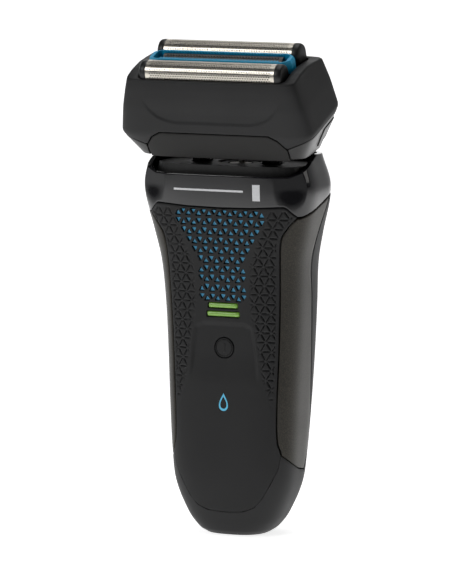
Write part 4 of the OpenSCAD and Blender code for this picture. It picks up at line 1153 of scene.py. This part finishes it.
@dataclass
class Foils:
    """The two perforated foils with their end caps."""

    form: HeadForm
    hole_pitch: float = 0.85
    hole_r: float = 0.26
    sheet: float = 0.2
    margin: float = 1.0

    def place(self, x: Array, s: Array, y: float, inset: float) -> Array:
        """Points on a foil: x along it, s round its arch from the crown, pulled in by an inset."""
        r = self.form.foil_r
        turn = np.clip(s / r, -math.pi / 2, math.pi / 2)
        down = np.maximum(np.abs(s) - r * math.pi / 2, 0)
        return np.stack([x + 0 * s, y + (r - inset) * np.sin(turn),
                         self.form.foil_c + (r - inset) * np.cos(turn) - down], -1)

    def build(self, side: int, body: str) -> None:
        """Builds one foil and its caps.

        Args:
            side: -1 for the front foil and 1 for the rear one.
            body: Body that it moves with.
        """
        form, name = self.form, "front" if side < 0 else "rear"
        y = side * form.foil_pitch / 2
        rows, p = 19, self.hole_pitch
        h = form.foil_r * math.pi / 2 * 2 / rows * 1.12
        half = form.foil_l / 2
        n = int((form.foil_l - 2 * self.margin) / p)
        w = n * p / 2
        plane: list[Array] = []
        ring8 = np.array([[-1, -1], [0, -1], [1, -1], [1, 0], [1, 1], [0, 1], [-1, 1], [-1, 0]])
        turn = np.radians(np.arange(8) * 45 - 135)
        holes = []
        for row in range(rows):
            s0 = (row - rows / 2 + 0.5) * h
            shift = p / 2 * (row % 2)
            xs = np.arange(n - row % 2) * p - w + p / 2 + shift
            outer = np.stack([xs[:, None] + ring8[:, 0] * p / 2,
                              np.full((len(xs), 8), s0) + ring8[:, 1] * h / 2], -1)
            hole = np.stack([xs[:, None] + np.cos(turn) * self.hole_r,
                             np.full((len(xs), 8), s0) + np.sin(turn) * self.hole_r], -1)
            nxt_o, nxt_h = np.roll(outer, -1, 1), np.roll(hole, -1, 1)
            plane.append(np.stack([outer, nxt_o, nxt_h, hole], 2).reshape(-1, 4, 2))
            holes.append(hole)
            gaps = [(-half, -w), (w, half)]
            if row % 2:
                gaps += [(-w, -w + p / 2), (w - p / 2, w)]
            for a, b in gaps:
                for c in (s0 - h / 2, s0):
                    d = c + h / 2
                    plane.append(np.array([[[a, c], [b, c], [b, d], [a, d]]]))
        edge = rows * h / 2
        end = form.foil_r * math.pi / 2 + form.skirt - 0.2
        xs = np.concatenate([[-half], np.arange(2 * n + 1) * p / 2 - w, [half]])
        for lo, hi in ((-end, -edge), (edge, end)):
            plane.append(np.stack([np.stack([xs[:-1], 0 * xs[:-1] + lo], -1),
                                   np.stack([xs[1:], 0 * xs[1:] + lo], -1),
                                   np.stack([xs[1:], 0 * xs[1:] + hi], -1),
                                   np.stack([xs[:-1], 0 * xs[:-1] + hi], -1)], 1))
        quads = np.concatenate(plane)
        flat, index = np.unique(np.round(quads.reshape(-1, 2), 4), axis=0, return_inverse=True)
        faces = index.reshape(-1, 4)
        m = len(flat)
        points = np.concatenate([self.place(flat[:, 0], flat[:, 1], y, 0),
                                 self.place(flat[:, 0], flat[:, 1], y, self.sheet)])
        pairs = np.concatenate([np.stack([faces[:, k], faces[:, (k + 1) % 4]], 1)
                                for k in range(4)])
        key = pairs[:, 0] * m + pairs[:, 1]
        back = pairs[:, 1] * m + pairs[:, 0]
        rim = pairs[~np.isin(key, back)]
        wall = np.stack([rim[:, 1], rim[:, 0], rim[:, 0] + m, rim[:, 1] + m], 1)
        put(f"foil_{name}_visual", form.world(points), [faces, faces[:, ::-1] + m, wall],
            FOIL_NICKEL, body, [f"foil_{name}"], "foil_steel", 50)
        caps = [self.cap(end_side, y) for end_side in (-1, 1)]
        points, faces_list = join(*caps)
        put(f"foil_{name}_caps_visual", form.world(points), faces_list, CAP_BLACK, body,
            [f"foil_{name}_caps"], "inner_plastic", 40)

    def cap(self, end: int, y: float) -> tuple[Array, list[Array]]:
        """Works out one domed end cap: an arch profile that shrinks towards its outer end."""
        form, r = self.form, self.form.foil_r + 0.05
        turn = np.linspace(-math.pi / 2, math.pi / 2, 33)
        arch = np.stack([r * np.sin(turn), r * np.cos(turn)], -1)
        profile = np.concatenate([[[-r, -5.8]], arch, [[r, -5.8]]])
        t = np.array([0, 0.04, 0.3, 0.55, 0.75, 0.88, 0.96, 1.0])
        size = np.array([0.985, 1.0, 1.0, 0.985, 0.95, 0.88, 0.78, 0.6])
        x = end * (form.foil_l / 2 + t * form.cap_l)
        rows = np.stack([np.stack([np.full(len(profile), xi), y + profile[:, 0] * k,
                                   form.foil_c + np.where(profile[:, 1] > 0, profile[:, 1] * k,
                                                          profile[:, 1])], -1)
                         for xi, k in zip(x, size)])
        cols = len(profile)
        ends = [np.arange(cols)[None, ::-1], np.arange(cols)[None] + (len(t) - 1) * cols]
        return rows.reshape(-1, 3), [grid_faces(len(t), cols, wrap=True), *ends]


@dataclass
class Intercept:
    """The blue toothed guard between the foils, and the toothed blade in it."""

    form: HeadForm
    length: float = 48.8
    width: float = 7.0
    slot_l: float = 45.6
    slot_w: float = 5.7
    tooth: float = 1.0
    chamfer: float = 2.6
    slot_chamfer: float = 1.0
    blade_half: float = 20.5

    def outline(self, length: float, width: float, n: int, cut: float) -> Array:
        """Points round a long shape with chamfered ends, starting at the right and turning left."""
        hx, hy = length / 2, width / 2
        corner = np.array([[hx, 0], [hx, hy - cut * 0.75], [hx - cut, hy], [-hx + cut, hy],
                           [-hx, hy - cut * 0.75], [-hx, -hy + cut * 0.75], [-hx + cut, -hy],
                           [hx - cut, -hy], [hx, -hy + cut * 0.75], [hx, 0]])
        run = np.concatenate([[0], np.cumsum(np.linalg.norm(np.diff(corner, axis=0), axis=1))])
        t = np.linspace(0, run[-1], n + 1)[:-1]
        return np.stack([np.interp(t, run, corner[:, k]) for k in (0, 1)], -1)

    def build(self) -> None:
        """Builds the guard as one ring with a comb edge, and the blade as a toothed plate."""
        form, n = self.form, 900
        top = form.foil_c + 2.4
        out = self.outline(self.length, self.width, n, self.chamfer)
        hole = self.outline(self.slot_l, self.slot_w, n, self.slot_chamfer)
        teeth = smooth(np.abs(np.mod(hole[:, 0] / self.tooth, 1) - 0.5), 0.2, 0.3)
        teeth = teeth * (np.abs(hole[:, 0]) < self.slot_l / 2 - self.chamfer)
        teeth = teeth * (0.3 + 0.7 * (hole[:, 1] < 0))
        comb = np.stack([hole[:, 0], hole[:, 1] - np.sign(hole[:, 1]) * teeth], -1)
        rows = []
        for shape, mix, drop in ((out, 0, 4.4), (out, 0, 1.0), (out, 0.14, 0.35), (out, 0.3, 0.0),
                                 (comb, 1, 0.0), (comb, 1, 1.1), (hole, 1, 1.3), (hole, 1, 3.2)):
            base = out + (hole - out) * mix if mix < 1 else shape
            rows.append(np.stack([base[:, 0], base[:, 1], np.full(n, top - drop)], -1))
        put("intercept_guard_visual", *torus(form.world(np.stack(rows))), BLUE_GUARD, "guard",
            ["intercept_guard"], "blue_plastic", 30)
        cols = 660
        x = np.linspace(-self.blade_half, self.blade_half, cols)
        bite = smooth(np.abs(np.mod(x / self.tooth, 1) - 0.5), 0.2, 0.3)
        bite = bite * (np.abs(x) < self.blade_half - 1)
        v = np.array([0.0, 0.4, 0.55, 0.6, 0.95, 1.0])
        lift = np.array([0.5, 0.5, 0.55, 0.95, 0.95, 0.6])
        front = -1.6 + 1.3 * bite
        y = front + (2.4 - front) * v[:, None]
        outer = np.stack([x + 0 * y, y, top - 1.55 + lift[:, None] + 0 * y], -1)
        inner = np.stack([x + 0 * y, y, np.full_like(y, top - 2.2)], -1)
        stem = self.stem(top)
        put("intercept_blade_visual", *join(slab(form.world(outer), form.world(inner)), stem),
            DARK_STEEL, "intercept_cutter", ["intercept_blade"], "dark_blade_steel", 30)

    def stem(self, top: float) -> tuple[Array, list[Array]]:
        """Works out the blade's carrier, a rounded block under the middle of the plate."""
        q = turns(40)
        rows = np.stack([rounded(q, 6, 1.9, 5.0) * k + [0, 0, top - d]
                         for k, d in ((0.97, 2.1), (1, 2.3), (1, 10.6), (0.95, 10.9))])
        faces = [grid_faces(4, 40, wrap=True), np.arange(40)[None, ::-1],
                 np.arange(40)[None] + 120]
        return self.form.world(rows).reshape(-1, 3), faces


# ---------------------------------------------------------------- light, floor and camera
@dataclass
class Studio:
    """A pale floor that glows as painted light, soft lights and the camera."""

    azimuth: float = 23.0
    elevation: float = 7.3
    distance: float = 1.5
    target: tuple[float, float, float] = (-0.00263, 0.0, 0.0795)
    lens: float = 294.9
    glow_away: tuple[float, float] = (-0.5, -0.22)
    glow_beside: tuple[float, float] = (0.35, 0.75)

    def build(self) -> None:
        """Makes the world, the floor, the lights and the camera."""
        world = bpy.data.worlds.new("soft_studio")
        world.use_nodes = True
        tree = world.node_tree
        tree.nodes["Background"].inputs[0].default_value = (0.9, 0.9, 0.91, 1)
        tree.nodes["Background"].inputs[1].default_value = 0.07
        bpy.context.scene.world = world
        bpy.context.scene.view_settings.view_transform = "Standard"
        self.floor()
        self.lamp("key_softbox", 0.55, (-0.75, -1.1, 0.75), 5.5, (1, 1, 1))
        self.lamp("rim_left", 0.5, (-0.95, 0.35, 0.35), 1.2, (0.95, 0.98, 1))
        self.lamp("rim_right", 0.5, (1.0, 0.25, 0.45), 0.8, (1, 0.98, 0.95))
        self.lamp("top_softbox", 0.9, (0.0, 0.1, 1.3), 4.5, (1, 1, 1))
        self.camera()

    def floor(self) -> None:
        """Makes a floor that rises to a wall behind the object, in one pale paint that glows as
        painted light: full behind and round the object, fading towards the front and the sides.
        """
        u = np.linspace(0, 1, 60)
        y = np.interp(u, [0, 0.55, 0.62, 1], [-3.0, 1.6, 1.9, 1.9])
        z = np.interp(u, [0, 0.55, 0.62, 1], [0, 0, 0.3, 3.0]) - 0.0002
        x = np.linspace(-3, 3, 9)
        points = np.stack([x[None] + 0 * y[:, None], y[:, None] + 0 * x, z[:, None] + 0 * x], -1)
        mesh = bpy.data.meshes.new("studio_floor")
        mesh.from_pydata(points.reshape(-1, 3).tolist(), [], grid_faces(60, 9).tolist())
        # The paint glows: painted light that lights the object from the floor and the wall behind
        # it.
        paint = Finish("pale_matt_paint_painted_glow", "F6F6F6", "F4F4F4", 0.9, Grain.PLAIN, 60.0, 0.0,
                       glow=0.85)
        material = paint.build()
        tree = material.node_tree
        # Painted light: the glow fades towards the camera and to the sides, so the object's
        # reflections go dark there.
        place = add_node(tree, "ShaderNodeTexCoord").outputs["Object"]
        a = math.radians(self.azimuth)
        away, beside = (add_node(tree, "ShaderNodeVectorMath", {"operation": "DOT_PRODUCT"},
                                 i0=place, i1=way).outputs["Value"]
                        for way in ((-math.sin(a), math.cos(a), 0.0),
                                    (math.cos(a), math.sin(a), 0.0)))
        beside = add_node(tree, "ShaderNodeMath", {"operation": "ABSOLUTE"}, i0=beside).outputs[0]
        far, near = (add_node(tree, "ShaderNodeMapRange", Value=value, From_Min=reach[0],
                              From_Max=reach[1], To_Min=lo, To_Max=hi).outputs[0]
                     for value, reach, lo, hi in ((away, self.glow_away, 0.05, paint.glow),
                                                  (beside, self.glow_beside, 1.0, 0.15)))
        glow = add_node(tree, "ShaderNodeMath", {"operation": "MULTIPLY"}, i0=far,
                        i1=near).outputs[0]
        tree.links.new(glow, tree.nodes["Principled BSDF"].inputs["Emission Strength"])
        mesh.materials.append(material)
        mesh.polygons.foreach_set("use_smooth", np.ones(len(mesh.polygons), dtype=bool))
        sheet = bpy.data.objects.new("studio_floor", mesh)
        bpy.context.scene.collection.objects.link(sheet)

    def lamp(self, name: str, size: float, place: tuple[float, float, float], watts: float,
             tint: tuple[float, float, float]) -> None:
        """Adds an area light that looks at the object's middle.

        Args:
            name: Name of the light.
            size: Side of the square that shines, in metres.
            place: Where it stands.
            watts: Its power.
            tint: Its colour.
        """
        data = bpy.data.lights.new(name, "AREA")
        data.size, data.energy, data.color = size, watts, tint
        lamp = bpy.data.objects.new(name, data)
        lamp.location = place
        aim = Vector(self.target) - Vector(place)
        lamp.rotation_euler = aim.to_track_quat("-Z", "Y").to_euler()
        bpy.context.scene.collection.objects.link(lamp)

    def camera(self) -> None:
        """Adds the camera on its sight line."""
        a, e = math.radians(self.azimuth), math.radians(self.elevation)
        back = Vector((math.sin(a) * math.cos(e), -math.cos(a) * math.cos(e), math.sin(e)))
        data = bpy.data.cameras.new("camera")
        data.lens, data.sensor_width = self.lens, 36.0
        eye = bpy.data.objects.new("camera", data)
        eye.location = Vector(self.target) + back * self.distance
        eye.rotation_euler = (-back).to_track_quat("-Z", "Y").to_euler()
        bpy.context.scene.collection.objects.link(eye)
        bpy.context.scene.camera = eye


def dress_nodes() -> None:
    """Gives every CAD node that stays visible its finish."""
    for name, finish in NODE_FINISH.items():
        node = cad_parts[name]
        for place in node.material_slots:
            place.material = finish.build()
        log.info("%s: %s", name, finish.name)


def main() -> None:
    """Builds the studio and every piece, in order."""
    Studio().build()
    dress_nodes()
    handle = HandleSkins(Handle())
    handle.build_panel()
    handle.build_lights()
    handle.build_button()
    for side in (-1, 1):
        handle.build_grip(side)
    handle.build_collar()
    handle.build_rear()
    handle.build_screws()
    handle.build_prints()
    form = HeadForm()
    head = HeadSkins(form)
    head.build_frame()
    head.build_base()
    head.build_thumb()
    foils = Foils(form)
    foils.build(-1, "foil_a")
    foils.build(1, "foil_b")
    Intercept(form).build()


if __name__ == "__main__":
    main()
